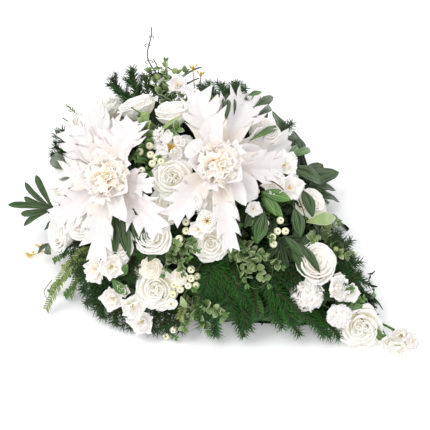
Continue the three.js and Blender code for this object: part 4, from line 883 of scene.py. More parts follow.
def roundPetal(look, seed):
    dice = random.Random(seed)
    reach, cup, frill = look["reach"], look["cup"], look["frill"]
    phase, wave = dice.random() * 6, dice.uniform(0.05, 0.1)

    def rule(x, t):
        wide = look["width"] * (math.sin(math.pi * min(0.1 + x * 0.78, 1)) ** 0.8)
        front = 1 - 0.12 * t * t - look["notch"] * (1 - abs(t)) ** 2 * x + frill * 0.6 * math.sin(t * 9 + phase)
        z = cup * x**1.6 + 0.14 * t * t * x - 0.08 * (1 - abs(t)) * math.sin(math.pi * x)
        z += (wave + frill) * math.sin(t * 7 + phase * 2) * x**1.6 - frill * x**3
        return Vector((0.05 + (reach - 0.05) * x * front, t * wide, z))

    return finish(newBlade(*look["grid"], rule, 0.03), blades["blossom petal"])


def stamenRing(count, length, tip):
    # threads with a pollen bead each, round the axis
    pieces = []
    for i in range(count):
        angle = i / count * math.tau
        way = Vector((math.cos(angle) * math.sin(0.45), math.sin(angle) * math.sin(0.45), math.cos(0.45)))
        turn = way.to_track_quat("Z", "Y").to_euler()
        form = {"vertices": 4, "radius1": 0.025, "radius2": 0.015, "depth": length}
        thread = primitive(bpy.ops.mesh.primitive_cone_add, location=way * length / 2, rotation=turn, **form)
        thread.data.materials.append(plains["pollen"])
        bead = primitive(bpy.ops.mesh.primitive_ico_sphere_add, subdivisions=1, radius=0.035, location=way * length)
        bead.data.materials.append(tip)
        pieces += [thread, bead]
    return joinAll("stamens", pieces)


def floretPattern(name, settings, seed):
    look = {**floretBasics, **settings}
    dice = random.Random(seed)
    forms = [roundPetal(look, seed * 3 + k) for k in range(3)]
    sets = []
    for row, (count, size, lift) in enumerate(look["rows"]):
        for i in range(count):
            turn = Matrix.Rotation((i + 0.5 * row + dice.uniform(-0.1, 0.1)) / count * math.tau, 4, "Z")
            tilt = Matrix.Rotation(-lift - dice.uniform(-0.12, 0.12), 4, "Y")
            tilt = tilt @ Matrix.Rotation(dice.uniform(-0.15, 0.15), 4, "X")
            grown = Matrix.Scale(size * dice.uniform(0.88, 1.08), 4)
            sets.append((forms[(i + row) % 3], [(turn @ tilt @ grown, dice.random())]))
    parts = [gather(name, sets), receptacle(look["eye"], 0.1, plains[look["eyeFinish"]], 0.06)]
    parts.append(receptacle(0.16, 0.2, plains["green stem"], -0.16))
    if look["stamens"]:
        parts.append(stamenRing(look["stamens"], look["stamenLength"], plains[look["stamenFinish"]]))
    return aside(joinAll(name, parts))


florets = {name: floretPattern(name, settings, k + 5) for k, (name, settings) in enumerate(floretSettings.items())}


def budPattern(material):
    def rule(x, y, z, angle):
        slim = (0.78 + 0.22 * math.cos(z * 2.2)) * (1 + 0.06 * math.cos(angle * 5 + z * 2))
        return Vector((x * slim, y * slim, z * 0.9))

    return finish(newBall(10, 9, rule), material)


def berryPattern():
    # a ball, its top drawn in to a dimple with a dry eye in it
    ball = newBall(14, 10, lambda x, y, z, angle: Vector((x, y, (z - max(0.0, z - 0.8) * 0.9) * 0.97)))
    form = {"vertices": 7, "radius1": 0.22, "radius2": 0.1, "depth": 0.14}
    eye = primitive(bpy.ops.mesh.primitive_cone_add, location=(0, 0, 0.85), **form)
    return aside(joinAll("berry", [finish(ball, plains["berry skin"]), finish(eye, plains["berry eye"])]))


whiteBud = budPattern(blades["blossom petal"])
yellowBud = budPattern(plains["yellow twig"])
greenBall = budPattern(plains["pod skin"])
berry = berryPattern()
print("small flower patterns made")

# leaves, each pattern of unit length: shares of the length with the width there
outlines = {
    "broad": [
        (0, 0.04), (0.08, 0.3), (0.22, 0.68), (0.4, 0.96), (0.55, 1), (0.72, 0.82), (0.86, 0.5), (0.95, 0.2), (1, 0.02),
    ],
    "lance": [(0, 0.05), (0.1, 0.35), (0.3, 0.8), (0.5, 1), (0.7, 0.8), (0.85, 0.45), (1, 0.02)],
    "finger": [(0, 0.3), (0.25, 0.52), (0.45, 0.86), (0.7, 1), (0.86, 0.84), (0.94, 0.42), (1, 0.03)],
    "round": [
        (0, 0.06), (0.08, 0.42), (0.2, 0.76), (0.35, 0.97), (0.5, 1), (0.68, 0.9), (0.82, 0.66), (0.93, 0.34),
        (1, 0.04),
    ],
    "moss": [(0, 0.3), (0.5, 1), (1, 0.1)],
}
leafSettings = {
    # outline, finish, grid, thickness, fold, wave, arch, droop
    "broadLeaf": ("broad", "dark leaf", (14, 6), 0.014, 0.05, 0.012, 0.08, 0),
    "lanceLeaf": ("lance", "dark leaf", (12, 6), 0.014, 0.04, 0.008, 0.08, 0),
    "stripedLeaf": ("lance", "fresh leaf", (12, 6), 0.014, 0.04, 0.008, 0.08, 0),
    "paleLeaf": ("lance", "pale leaf", (12, 6), 0.014, 0.04, 0.008, 0.08, 0),
    "fingerLeaf": ("finger", "dark leaf", (12, 6), 0.014, 0.05, 0.006, 0.05, 0),
    "eucalyptusLeaf": ("round", "eucalyptus leaf", (5, 2), 0.03, 0.07, 0.01, 0.05, 0.12),
    "smallLeaf": ("round", "fresh leaf", (4, 2), 0.04, 0.1, 0, 0.04, 0.1),
    "fernLeaf": ("lance", "fern leaf", (3, 2), 0.04, 0.02, 0, 0.02, 0.06),
    "lowLeaf": ("lance", "dark leaf", (5, 2), 0.02, 0.05, 0, 0.12, 0.08),
    "lowFreshLeaf": ("broad", "fresh leaf", (5, 2), 0.02, 0.05, 0, 0.12, 0.08),
    "mossLeaf": ("moss", "moss leaf", (2, 2), 0.05, 0.15, 0, 0.1, 0.1),
}


def leafPattern(outline, finishName, grid, thickness, fold, wave, arch, droop):
    def rule(x, t):
        wide = rowAt(outlines[outline], x)[1]
        edge = abs(t)
        z = arch * math.sin(math.pi * x) - droop * x * x + fold * edge * wide + wave * math.sin(x * 15 + t) * edge**2
        return Vector((x, t * wide / 2, z))

    return finish(newBlade(*grid, rule, thickness), blades[finishName])


leaves = {name: leafPattern(*settings) for name, settings in leafSettings.items()}
print("leaf patterns made")

# heads on their stems: roses, blossoms, berries and buds
headForms = {
    # radius of the stem, the face's height over the middle and the neck's depth under it, as shares of the size
    "rose": (2.6, 0.4, 0.76), "ruffle": (1.8, 0.5, 0.45), "floret": (1.3, 0.2, 0.3), "bud": (1.3, 0.6, 0.9),
    "berry": (1.0, 0.8, 1.0),
}
headKinds = {
    "ranunculus": "ruffle", "hydrangea": "ruffle", "azalea": "floret", "orchid": "floret", "freesia": "floret",
    "berry": "berry", "bud": "bud",
}
headSlots = {"rose": "rose", "berry": "berry", "bud": "bud_twig"}
# the florets of a ball and of a bunch: how many, their size and how far out they stand, as shares of the head's size
ballForm = {"count": 10, "turn": 2.39996, "down": 1.05, "size": (0.7, 0.86), "stand": 0.62, "raise": 0.05}
bunchForm = {"count": 4, "turn": 90, "first": 30, "size": (0.62, 0.76), "stand": 0.58, "sink": 0.16}
stemForm = {"thick": 2.6, "fork": 1.1, "neck": 2.0}


def berriesAt(*spots):
    return [("berry", *spot[:2], spot[2] if len(spot) > 2 else 0, 7) for spot in spots]


headSettings = {
    # foot of the stem, where the other stems join it, the heads: pattern, place, lift, size; for a rose also how far it
    # faces the viewpoint (None: the place is a bearing and a height behind) and how far its face turns up and away
    "rose_centre": ((14, -64, 208), [], [("roseFull", 172, 178, 0, 36, 0.8, 0)]),
    "rose_low": ((55, -168, 60), [], [("roseLoose", 155, 291, 0, 36, 0.6, 0)]),
    "roses_top_left": ((-90, 16, 197), [(-96, 9, 226)], [
        ("roseTall", 135, 104, 0, 36, 0.3, 1.2), ("roseTall", 107, 106, -12, 34, 0.5, 1.1),
    ]),
    "rose_top": ((-29, 11, 222), [], [("roseTall", 172, 110, -5, 34, 0.2, 0.8)]),
    "rose_left": ((-164, -80, 74), [], [("roseTall", 62, 193, -22, 34, 0.5, 0.6)]),
    "roses_low_left": ((-116, -136, 62), [(-125, -161, 76)], [
        ("roseTall", 58, 234, 0, 36, 0.3, 0.4), ("roseTall", 81, 225, -14, 28, 0.5, 0.3),
    ]),
    "roses_front": ((27, -136, 144), [(38, -154, 162)], [
        ("roseTall", 152, 236, 0, 34, 0.5, 0.3), ("roseTall", 118, 244, -8, 28, 0.5, 0.3),
    ]),
    "rose_middle": ((116, -96, 137), [], [("roseOpen", 211, 244, 0, 33, 0.5, 0)]),
    "rose_right": ((269, -9, 84), [], [("roseTall", 317, 262, 0, 38, 0.35, 0.35)]),
    "rose_far_right": ((198, 58, 113), [], [("roseFull", 315, 201, 0, 32, 0.3, 0.2)]),
    "rose_top_right": ((58, 99, 172), [], [("roseTall", 266, 130, -5, 34, 0.3, 0.5)]),
    "rose_tail": ((360, -15, 28), [], [("roseFull", 362, 329, 5, 38, 0.6, -0.1)]),
    "roses_behind": ((-64, 157, 88), [(-74, 182, 98)], [
        ("roseOpen", 112, 120, 0, 36, None, 0), ("roseFull", 92, 150, 0, 32, None, 0),
    ]),
    "berries_top": (
        (-25, -54, 214),
        [(-18, -73, 245), (-16, -76, 251), (-15, -80, 257), (-13, -84, 263), (-12, -88, 269), (-11, -92, 275)],
        berriesAt((150, 154), (149, 145), (139, 151), (156, 157), (152, 163), (161, 161, 5), (141, 170)),
    ),
    "berries_right": (
        (194, -17, 130),
        [(210, -31, 155), (213, -33, 160), (216, -36, 164), (219, -39, 169), (222, -42, 174)],
        berriesAt((278, 231), (266, 223), (281, 220), (286, 231), (273, 237), (274, 244)),
    ),
    "berries_low": (
        (106, -135, 90),
        [
            (120, -159, 110), (122, -161, 112), (124, -164, 114), (125, -167, 116), (127, -169, 119), (128, -172, 121),
            (130, -174, 123), (132, -177, 126), (134, -180, 128),
        ],
        berriesAt(
            (191, 279), (191, 270), (197, 277, -10), (188, 286), (196, 286), (180, 290), (174, 285), (173, 295),
            (173, 331), (166, 337),
        ),
    ),
    "berries_middle": (
        (72, -107, 153),
        [(86, -127, 176), (99, -146, 197)],
        berriesAt((186, 231), (186, 222), (179, 239)),
    ),
    "blossoms_top": ((-90, 112, 157), [(-89, 106, 201)], [("azalea", 178, 84, 0, 24), ("azalea", 187, 92, 0, 16)]),
    "blossoms_freesia": ((-13, -32, 223), [(-1, -48, 253), (5, -57, 269), (12, -65, 284)], [
        ("freesia", 171, 147, 0, 24), ("freesia", 163, 140, -16, 20), ("freesia", 178, 155, -28, 20),
        ("bud", 160, 154, -10, 10),
    ]),
    "blossoms_middle": ((80, -50, 186), [(95, -66, 211), (102, -74, 223), (108, -81, 234)], [
        ("azalea", 212, 195, 0, 24), ("orchid", 201, 204, 5, 22), ("azalea", 211, 216, -10, 24),
        ("azalea", 199, 229, 5, 20),
    ]),
    "blossoms_orchid": ((135, 34, 164), [(164, 18, 211), (167, 16, 216)], [
        ("orchid", 271, 182, 0, 28), ("orchid", 285, 165, 5, 28), ("orchid", 290, 187, 0, 28),
    ]),
    "blossoms_low": ((-11, -185, 30), [(0, -215, 48), (4, -226, 54), (8, -236, 60), (12, -246, 66)], [
        ("azalea", 113, 298, 0, 26), ("azalea", 97, 271, 0, 30), ("azalea", 111, 267, 5, 28),
        ("azalea", 131, 306, 10, 28), ("azalea", 143, 322, 0, 30),
    ]),
    "blossoms_ranunculus": ((40, -159, 98), [(53, -183, 118), (64, -204, 135)], [
        ("ranunculus", 150, 269, 0, 20), ("ranunculus", 141, 273, -34, 14), ("ranunculus", 179, 278, 5, 15),
    ]),
    "blossoms_right": ((285, -40, 54), [(297, -54, 71), (300, -57, 74), (302, -60, 77)], [
        ("hydrangea", 308, 295, -10, 30), ("orchid", 335, 288, 0, 28), ("orchid", 350, 293, -5, 20),
        ("hydrangea", 340, 317, 10, 22),
    ]),
    "blossoms_tail": ((390, 0, 15), [(426, 0, 16), (444, 0, 17), (462, -1, 17)], [
        ("azalea", 402, 336, 0, 24), ("azalea", 389, 342, 16, 20), ("azalea", 413, 341, 16, 18),
        ("azalea", 399, 348, 22, 22),
    ]),
    "twig_yellow_top": ((-89, 156, 99), [(-84, 156, 158)], [("bud", 201, 72, 0, 6), ("bud", 193, 66, 0, 6)]),
    "twig_yellow_left": ((-143, -116, 26), [(-171, -147, 21)], [("bud", 38, 247, 0, 6), ("bud", 27, 256, 0, 8)]),
}


def domeOfFlorets(centre, axis, size, seed):
    # a ball of small flowers, each looking away from its middle
    dice = random.Random(seed)
    found = []
    for i in range(ballForm["count"]):
        high = 1 - (i + 0.5) / ballForm["count"] * ballForm["down"]
        flat = math.sqrt(max(0.0, 1 - high * high))
        way = (axis * high + outAt(axis, math.degrees(i * ballForm["turn"])) * flat).normalized()
        small = size * dice.uniform(*ballForm["size"])
        spot = centre + way * size * ballForm["stand"] + axis * size * ballForm["raise"]
        found.append((frameAt(spot, way, dice.uniform(0, 90), small), dice.random()))
    return found


def makeHeads(name, foot, joints, heads):
    dice = random.Random(len(name) * 7 + foot[0])
    sets, paths, threads = [], [], []
    isTwig = name.startswith("twig")

    def add(pattern, matrix, tone):
        sets.append((pattern, [(matrix, tone)]))

    for i, (pattern, x, y, lift, size, *more) in enumerate(heads):
        share, away = more or (0.5, 0)
        thick, face, pole = headForms[headKinds.get(pattern, "rose")]
        if share is None:
            spot, axis = placeBehind(x, y)
        else:
            spot, normal = place((x, y), lift)
            axis = (normal * (1 - share) + toViewer * share).normalized()
        centre = spot - axis * face * size
        neck = centre - axis * pole * size
        whole = frameAt(centre, axis, dice.uniform(0, 360), size)
        tone = dice.random()
        if pattern.startswith("rose"):
            facing = (axis - toViewer * away * 0.6 + Vector((0, 0, away * 0.4))).normalized()
            add(roseKinds[pattern], frameAt(centre, facing, dice.uniform(0, 360), size), tone)
            add(roseCup, frameAt(centre - axis * size * 0.6, axis, 0, size), tone)
        elif pattern == "hydrangea":
            sets.append((florets[pattern], domeOfFlorets(centre, axis, size, i + 2)))
        elif pattern == "ranunculus":
            add(roseKinds[pattern], whole, tone)
        elif pattern == "freesia":
            for k in range(bunchForm["count"]):
                out = outAt(axis, k * bunchForm["turn"] + bunchForm["first"])
                way = (axis * 0.8 + out * 0.8).normalized()
                small = size * dice.uniform(*bunchForm["size"])
                spot = centre + way * size * bunchForm["stand"] - axis * size * bunchForm["sink"]
                add(florets[pattern], frameAt(spot, way, dice.uniform(0, 72), small), dice.random())
                threads.append(([centre - axis * size * 0.1, spot + axis * small * 0.1], 2.6, 3.2))
        elif pattern in florets:
            stray = Vector((dice.uniform(-0.45, 0.45), dice.uniform(-0.45, 0.45), dice.uniform(-0.3, 0.3)))
            add(florets[pattern], frameAt(centre, (axis + stray).normalized(), dice.uniform(0, 360), size), tone)
        elif pattern == "berry":
            add(berry, whole, tone)
        elif isTwig:
            add(yellowBud, frameAt(centre, axis, 0, (size * 0.45, size * 0.45, size)), tone)
            for side in (-1, 1):
                root = neck - axis * size * (0.4 + 0.5 * dice.random())
                way = (axis + viewRight * side * 0.7 + viewUp * 0.4).normalized()
                tip = root + way * size * dice.uniform(1.6, 2.6)
                paths.append(([root, tip], 0.7, 0.5))
                add(yellowBud, frameAt(tip, way, 0, (size * 0.3, size * 0.3, size * 0.8)), dice.random())
        else:
            add(whiteBud, whole, tone)
        end = Vector(joints[i - 1] if i else foot)
        if i or isTwig:
            thick = min(thick, stemForm["fork"])
        elif len(heads) > 1:
            thick = stemForm["thick"]
        sag = (neck - axis * (neck - end).length * 0.3).lerp(neck.lerp(end, 0.5), 0.5)
        paths.append((bendPoints(neck + axis, sag, end, 8), min(thick, stemForm["neck"]), thick))
    slot = headSlots.get(headKinds.get(heads[0][0], "rose"), "blossom")
    stems = (paths, "yellow twig" if isTwig else "green stem")
    assemble(name + "_fine", slot, [name], sets, stems, (threads, "pollen"))


for headName, headSpec in headSettings.items():
    makeHeads(headName, *headSpec)
print("heads made")

# single leaves on forked stems, and the two dark leaves of narrow fingers
leafGroupSettings = {
    # foot and fork of the stem, the leaves: root, tip, width, lift, pattern
    "leaves_left": ((-122, -100, 119), (-134, -124, 141), [
        (79, 170, 52, 158, 28, -8, "broadLeaf"), (80, 175, 60, 177, 20, -8, "broadLeaf"),
    ]),
    "leaves_top": ((8, 90, 197), (22, 94, 228), [
        (217, 94, 221, 124, 24, -18, "broadLeaf"), (227, 94, 232, 119, 20, -24, "broadLeaf"),
        (250, 114, 273, 97, 18, -13, "lanceLeaf"), (252, 118, 271, 109, 17, -8, "lanceLeaf"),
        (248, 108, 259, 95, 15, -24, "stripedLeaf"), (279, 128, 249, 141, 12, 14, "stripedLeaf"),
    ]),
    "leaves_right": ((150, 69, 137), (169, 72, 166), [
        (289, 168, 321, 183, 28, -8, "broadLeaf"), (302, 190, 313, 218, 24, -8, "lanceLeaf"),
        (284, 162, 297, 147, 16, -8, "stripedLeaf"), (288, 158, 310, 151, 15, -8, "stripedLeaf"),
        (306, 222, 336, 218, 24, -8, "paleLeaf"), (294, 208, 300, 238, 24, -8, "broadLeaf"),
    ]),
    "leaves_centre": ((171, -5, 145), (189, -13, 172), [
        (261, 192, 291, 200, 22, -3, "stripedLeaf"), (261, 198, 283, 217, 22, -8, "stripedLeaf"),
        (262, 190, 284, 190, 18, -24, "lanceLeaf"), (262, 202, 244, 228, 26, -8, "lanceLeaf"),
        (264, 212, 256, 244, 26, 2, "lanceLeaf"),
    ]),
    "leaves_front": ((-18, -140, 145), (-12, -166, 166), [
        (113, 212, 116, 256, 24, -3, "lanceLeaf"), (122, 208, 130, 259, 22, -8, "lanceLeaf"),
        (133, 208, 145, 252, 22, 2, "broadLeaf"),
    ]),
    "leaves_low": ((1, -178, 63), (10, -208, 76), [
        (112, 279, 128, 295, 20, -1, "stripedLeaf"), (133, 301, 155, 309, 20, -24, "lanceLeaf"),
        (119, 276, 128, 264, 18, -13, "stripedLeaf"),
    ]),
    "leaves_tail": ((342, -8, 37), (360, -24, 61), [
        (334, 306, 350, 296, 24, -18, "broadLeaf"), (350, 306, 361, 296, 16, -13, "stripedLeaf"),
        (352, 309, 363, 305, 14, -8, "stripedLeaf"), (374, 334, 391, 341, 15, 0, "stripedLeaf"),
    ]),
}
fingerSettings = {
    # the middle and the tips of the fingers, their width and lift
    "leaves_left": ((53, 209), [(25, 182), (36, 175), (24, 197), (8, 205), (21, 214), (24, 226)], 15, -10),
    "leaves_centre": ((280, 239), [(306, 240), (303, 253), (297, 265), (287, 273), (276, 270), (268, 258)], 17, -42),
}


def makeLeafGroup(name, foot, fork, blocks):
    dice = random.Random(len(name))
    foot, fork = Vector(foot), Vector(fork)
    axis = (fork - foot).normalized()
    paths = [([foot, fork], 2.6, 2.2)]
    sets = []
    for x, y, endX, endY, width, lift, look in blocks:
        start, normal = place((x, y), lift)
        end = place((endX, endY), lift)[0]
        matrix = bladeAt(start, end, normal.lerp(toViewer, 0.5), width * 1.08)
        sets.append((leaves[look], [(matrix, dice.random())]))
        bend = fork + axis * (start - fork).length * 0.35
        paths.append((bendPoints(fork, bend, start + (end - start) * 0.03, 6), 1.3, 1.0))
    if name in fingerSettings:
        middle, tips, width, lift = fingerSettings[name]
        hub, normal = place(middle, lift)
        over = normal.lerp(toViewer, 0.6).normalized()
        for k, tip in enumerate(tips):
            end = place(tip, lift + (4 if k % 2 else -2))[0]
            matrix = bladeAt(hub, end, over, width * 0.92, None, 16 if k % 2 else -14)
            sets.append((leaves["fingerLeaf"], [(matrix, dice.random())]))
        paths.append((bendPoints(hub, hub - over * (hub - fork).length * 0.3, fork, 8), 1.8, 1.6))
        paths.append(([hub - over * 3, hub + over * 1.5], 4.0, 2.5))
    assemble(name + "_fine", "leaf", [name], sets, (paths, "green stem"))


for leafName, leafSpec in leafGroupSettings.items():
    makeLeafGroup(leafName, *leafSpec)
print("leaf groups made")

# sprays: twigs that fork from one stem, with needles, round leaves or leaflets
spraySettings = {
    # foot and fork of the stem, root of the twigs, and the bend and tip of each
    "eucalyptus_top": ((-76, 59, 194), (-83, 60, 227), (-83, 60, 225), [
        ((-90, 60, 261), (-159, 103, 280)), ((-91, 61, 264), (-139, 129, 294)), ((-90, 60, 260), (-103, 145, 274)),
    ]),
    "eucalyptus_middle": ((-37, -14, 221), (-37, -24, 253), (-37, -24, 251), [
        ((-37, -30, 272), (-75, -35, 300)), ((-37, -31, 274), (-2, -30, 310)),
    ]),
    "eucalyptus_centre": ((67, -127, 134), (81, -150, 155), (80, -148, 154), [
        ((90, -166, 169), (101, -218, 149)), ((90, -166, 169), (138, -169, 190)), ((90, -166, 169), (131, -202, 157)),
    ]),
    "eucalyptus_right": ((156, -70, 131), (173, -87, 155), (172, -86, 154), [
        ((187, -102, 175), (230, -147, 138)), ((188, -103, 177), (266, -92, 156)), ((189, -104, 177), (259, -123, 133)),
    ]),
    "eucalyptus_far_right": ((244, 38, 92), (263, 36, 120), (262, 36, 118), [
        ((277, 35, 141), (340, 36, 110)), ((272, 36, 133), (288, 76, 134)),
    ]),
    "eucalyptus_low": ((115, -144, 55), (130, -171, 70), (129, -169, 69), [
        ((142, -192, 81), (209, -188, 84)), ((141, -190, 80), (190, -211, 46)), ((138, -185, 77), (143, -220, 46)),
    ]),
    "fern_left": ((-74, -159, 74), (-78, -189, 90), (-78, -187, 89), [
        ((-88, -254, 124), (-107, -315, 11)), ((-83, -221, 107), (-90, -265, 10)),
    ]),
    "pine_front": ((132, -106, 113), (148, -128, 133), (148, -127, 132), [
        ((160, -144, 149), (163, -194, 95)), ((171, -159, 162), (197, -196, 19)), ((172, -160, 164), (240, -171, 24)),
        ((163, -148, 152), (231, -150, 97)),
    ]),
    "pine_tail": ((222, -73, 77), (240, -93, 97), (238, -92, 96), [
        ((266, -124, 128), (371, -81, 21)), ((259, -117, 120), (326, -113, 24)), ((251, -107, 111), (284, -131, 58)),
    ]),
    "pine_low_left": ((-17, -179, 55), (-10, -210, 68), (-11, -208, 67), [
        ((-6, -230, 77), (-55, -258, 83)), ((-5, -235, 79), (-46, -270, 22)),
    ]),
    "pine_top_left": ((-112, 43, 174), (-125, 41, 205), (-124, 41, 203), [
        ((-139, 39, 237), (-212, 46, 262)), ((-140, 39, 239), (-187, 84, 287)),
    ]),
    "pine_top_right": ((-2, 69, 211), (11, 71, 242), (10, 71, 240), [
        ((26, 73, 278), (-63, 162, 257)), ((12, 81, 286), (-20, 203, 244)),
    ]),
    "pine_left": ((-148, -43, 127), (-166, -60, 151), (-165, -59, 149), [
        ((-183, -76, 174), (-261, -89, 156)), ((-184, -76, 175), (-260, -54, 193)),
    ]),
    "pine_right": ((79, 104, 154), (96, 112, 183), (95, 112, 181), [
        ((116, 121, 214), (94, 225, 184)), ((113, 120, 210), (115, 207, 161)),
    ]),
    "pine_right_middle": ((179, 58, 124), (198, 60, 152), (197, 60, 151), [
        ((216, 61, 180), (211, 156, 133)), ((210, 66, 165), (240, 98, 146)),
    ]),
    "pine_right_low": ((290, 10, 71), (308, 2, 98), (307, 2, 97), [
        ((321, -4, 118), (319, 74, 111)), ((320, -3, 115), (355, 46, 97)), ((323, -4, 120), (388, 19, 82)),
    ]),
    "pine_behind": ((-6, 180, 52), (-7, 213, 58), (-7, 211, 58), [
        ((-8, 244, 64), (59, 274, 30)), ((-9, 247, 65), (-88, 272, 30)),
    ]),
    "laurel_behind": ((-126, 113, 88), (-150, 135, 100), (-148, 134, 99), [
        ((-182, 164, 115), (-264, 86, 40)), ((-193, 174, 120), (-258, -9, 130)), ((-180, 162, 114), (-130, 246, 40)),
        ((-178, 161, 113), (-138, 153, 220)),
    ]),
    "laurel_tail": ((128, 140, 50), (143, 169, 58), (142, 167, 57), [
        ((159, 198, 66), (240, 147, 26)), ((157, 195, 65), (100, 248, 36)), ((162, 205, 67), (63, 224, 134)),
        ((178, 234, 75), (-22, 205, 204)),
    ]),
    "laurel_left": ((-158, -77, 66), (-188, -92, 75), (-186, -91, 74), [
        ((-222, -108, 84), (-278, -29, 36)), ((-222, -108, 84), (-186, -207, 44)), ((-219, -107, 83), (-244, -43, 150)),
        ((-206, -97, 89), (-164, -148, 116)),
    ]),
}
twigKinds = {
    # pitch and start of the leaves, their length at the root and what it loses to the tip, radius, bark and slot
    "pine": (3.4, 6, 28, 7, 1.7, "brown twig", "pine"),
    "eucalyptus": (13, 14, 24, 9, 1.2, "green stem", "eucalyptus"),
    "laurel": (52, 22, 98, 24, 1.8, "green stem", "leaf"),
    "fern": (5.0, 8, 25, 13, 1.0, "green stem", "fern"),
}
brightPines = ("pine_front", "pine_tail")
shootSettings = {"shares": (0.3, 0.45, 0.6, 0.75), "length": 52, "lowest": 12, "needle": 21}
laurelLeft = {"share": 0.75, "edge": -282, "edgeShare": 0.6}  # shorter leaves, more so past the edge of the view
needleRise = 0.55


def needleWhorl(name, material, count=6):
    # needles of three faces round the axis, their roots on it
    pieces = []
    for i in range(count):
        form = {"vertices": 3, "radius1": 0.05, "radius2": 0, "depth": 1, "end_fill_type": "NOTHING"}
        needle = primitive(bpy.ops.mesh.primitive_cone_add, location=(0, 0, 0.5), **form)
        for vertex in needle.data.vertices:
            vertex.co.x *= 1.3
        uv = needle.data.uv_layers[0].data
        for loop in needle.data.loops:
            uv[loop.index].uv = (needle.data.vertices[loop.vertex_index].co.z, 0.5)
        tilt = Matrix.Rotation(0.72 + 0.34 * (i % 2), 4, "Y")
        needle.data.transform(Matrix.Rotation(i / count * math.tau, 4, "Z") @ tilt)
        needle.data.materials.append(material)
        pieces.append(needle)
    return aside(joinAll(name, pieces))


greens = {
    "pine": needleWhorl("darkWhorl", blades["pine needle"]),
    "brightPine": needleWhorl("brightWhorl", blades["bright needle"]),
    **leaves,
}


def needleFrame(spot, way, reach, turn, dice):
    # the needles spread to both sides of the twig, lower over it than wide
    over = (upward * 0.5 + moundNormal(spot, shell)).normalized()
    across = way.cross(over).normalized()
    spread = Matrix((across, across.cross(way) * needleRise, way)).transposed().to_4x4()
    spin = Matrix.Rotation(math.pi * (turn % 2) + dice.uniform(-0.3, 0.3), 4, "Z")
    return Matrix.Translation(spot * mm) @ spread @ Matrix.Scale(reach * mm, 4) @ spin


def needlesAlong(path, reach, seed, pitch=4.4):
    dice = random.Random(seed)
    shade = dice.random()
    found = []
    for i, (spot, way, mark) in enumerate(evenPoints(path, pitch, 2)[0]):
        matrix = needleFrame(spot, way, reach * dice.uniform(0.85, 1.05), i, dice)
        found.append((matrix, 0.65 * shade + 0.35 * dice.random()))
    return found


def addTwigLeaves(sets, name, kind, path, seed):
    # what grows along one twig
    dice = random.Random(seed)
    pitch, start, longest, taper = twigKinds[kind][:4]
    marks, length = evenPoints(path, pitch, start)
    shade = dice.random()
    for i, (spot, way, mark) in enumerate(marks):
        full = longest - taper * mark / length
        if kind == "pine":
            reach = full * dice.uniform(0.84, 1.04) * (0.9 if mark > length - 6 else 1)
            matrix = needleFrame(spot, way, reach, i, dice)
            look = "brightPine" if name in brightPines else "pine"
            sets[look].append((matrix, 0.65 * shade + 0.35 * dice.random()))
            continue
        over = (upward * 0.6 + moundNormal(spot, shell)).normalized()
        across = way.cross(over).normalized()
        for side in (-1, 1):
            out = across * side
            if kind == "eucalyptus":
                out = spun(out, way, dice.uniform(-0.6, 0.6) + (0.9 if i % 2 else 0))
                aim = (out + way * dice.uniform(0.3, 1.1) + over * 0.3).normalized()
                reach = full * dice.uniform(0.6, 1.05)
                face = over * 0.8 + out * dice.uniform(-1, 1) + way * dice.uniform(-0.8, 0.8)
                look, width = "eucalyptusLeaf", reach * dice.uniform(0.62, 0.8)
            elif kind == "laurel":
                aim, face = (out + way * 0.8 + over * 0.2).normalized(), over
                reach = full * dice.uniform(0.94, 1.03)
                if name == "laurel_left":
                    reach *= laurelLeft["share"]
                    if (spot + aim * reach).dot(viewRight) < laurelLeft["edge"]:
                        reach *= laurelLeft["edgeShare"]
                look, width = "broadLeaf", reach * 0.42
            else:
                aim, face = (out + way * 0.7 + over * dice.uniform(-0.15, 0.15)).normalized(), over
                reach = full * dice.uniform(0.9, 1.05)
                look, width = "fernLeaf", 3.6
            sets[look].append((bladeAt(spot, spot + aim * reach, face, width), dice.random()))
    if kind == "eucalyptus":
        spot, way = path[-1], (path[-1] - path[-2]).normalized()
        for turn in (0, 2.1, 4.2):
            out = spun(way.cross(moundNormal(spot, shell)).normalized(), way, turn)
            end = spot + (way + out * 0.5).normalized() * 11
            sets["smallLeaf"].append((bladeAt(spot, end, out.cross(way), 6), dice.random()))


def sideShoots(points, seed):
    # short shoots to both sides of a pine twig
    dice = random.Random(seed)
    found = []
    for share in shootSettings["shares"]:
        k = int(share * (len(points) - 1))
        way = (points[k + 1] - points[k]).normalized()
        over = moundNormal(points[k], shell)
        across = way.cross(over).normalized() * (-1 if len(found) % 2 else 1)
        aim = (way + across * dice.uniform(0.6, 0.9) + over * dice.uniform(0.0, 0.3)).normalized()
        length = shootSettings["length"] * (1.1 - share) * dice.uniform(0.85, 1.15)
        tip = points[k] + aim * length
        if tip.z > shootSettings["lowest"]:
            found.append(bendPoints(points[k], points[k] + aim * length * 0.5 + over * 2, tip, 5))
    return found


def patternsOf(sets):
    return [(greens[key], found) for key, found in sets.items()]


def makeSpray(name, foot, fork, root, twigs):
    kind = name.split("_")[0]
    radius, bark, slot = twigKinds[kind][4:]
    paths = [([Vector(foot), Vector(fork)], 2.6, 2.2)]
    sets = defaultdict(list)
    for i, (bend, tip) in enumerate(twigs):
        points = bendPoints(Vector(root), Vector(bend), Vector(tip), 16)
        paths.append((points, radius, radius * 0.55))
        addTwigLeaves(sets, name, kind, points, i * 7 + len(name))
        if kind == "pine" and name not in brightPines:
            for shoot in sideShoots(points, i + len(name)):
                paths.append((shoot, 1.0, 0.6))
                sets["pine"] += needlesAlong(shoot, shootSettings["needle"], i + len(name))
    assemble(name + "_fine", slot, [name], patternsOf(sets), (paths, bark))


for sprayName, spraySpec in spraySettings.items():
    makeSpray(sprayName, *spraySpec)
print("sprays made")

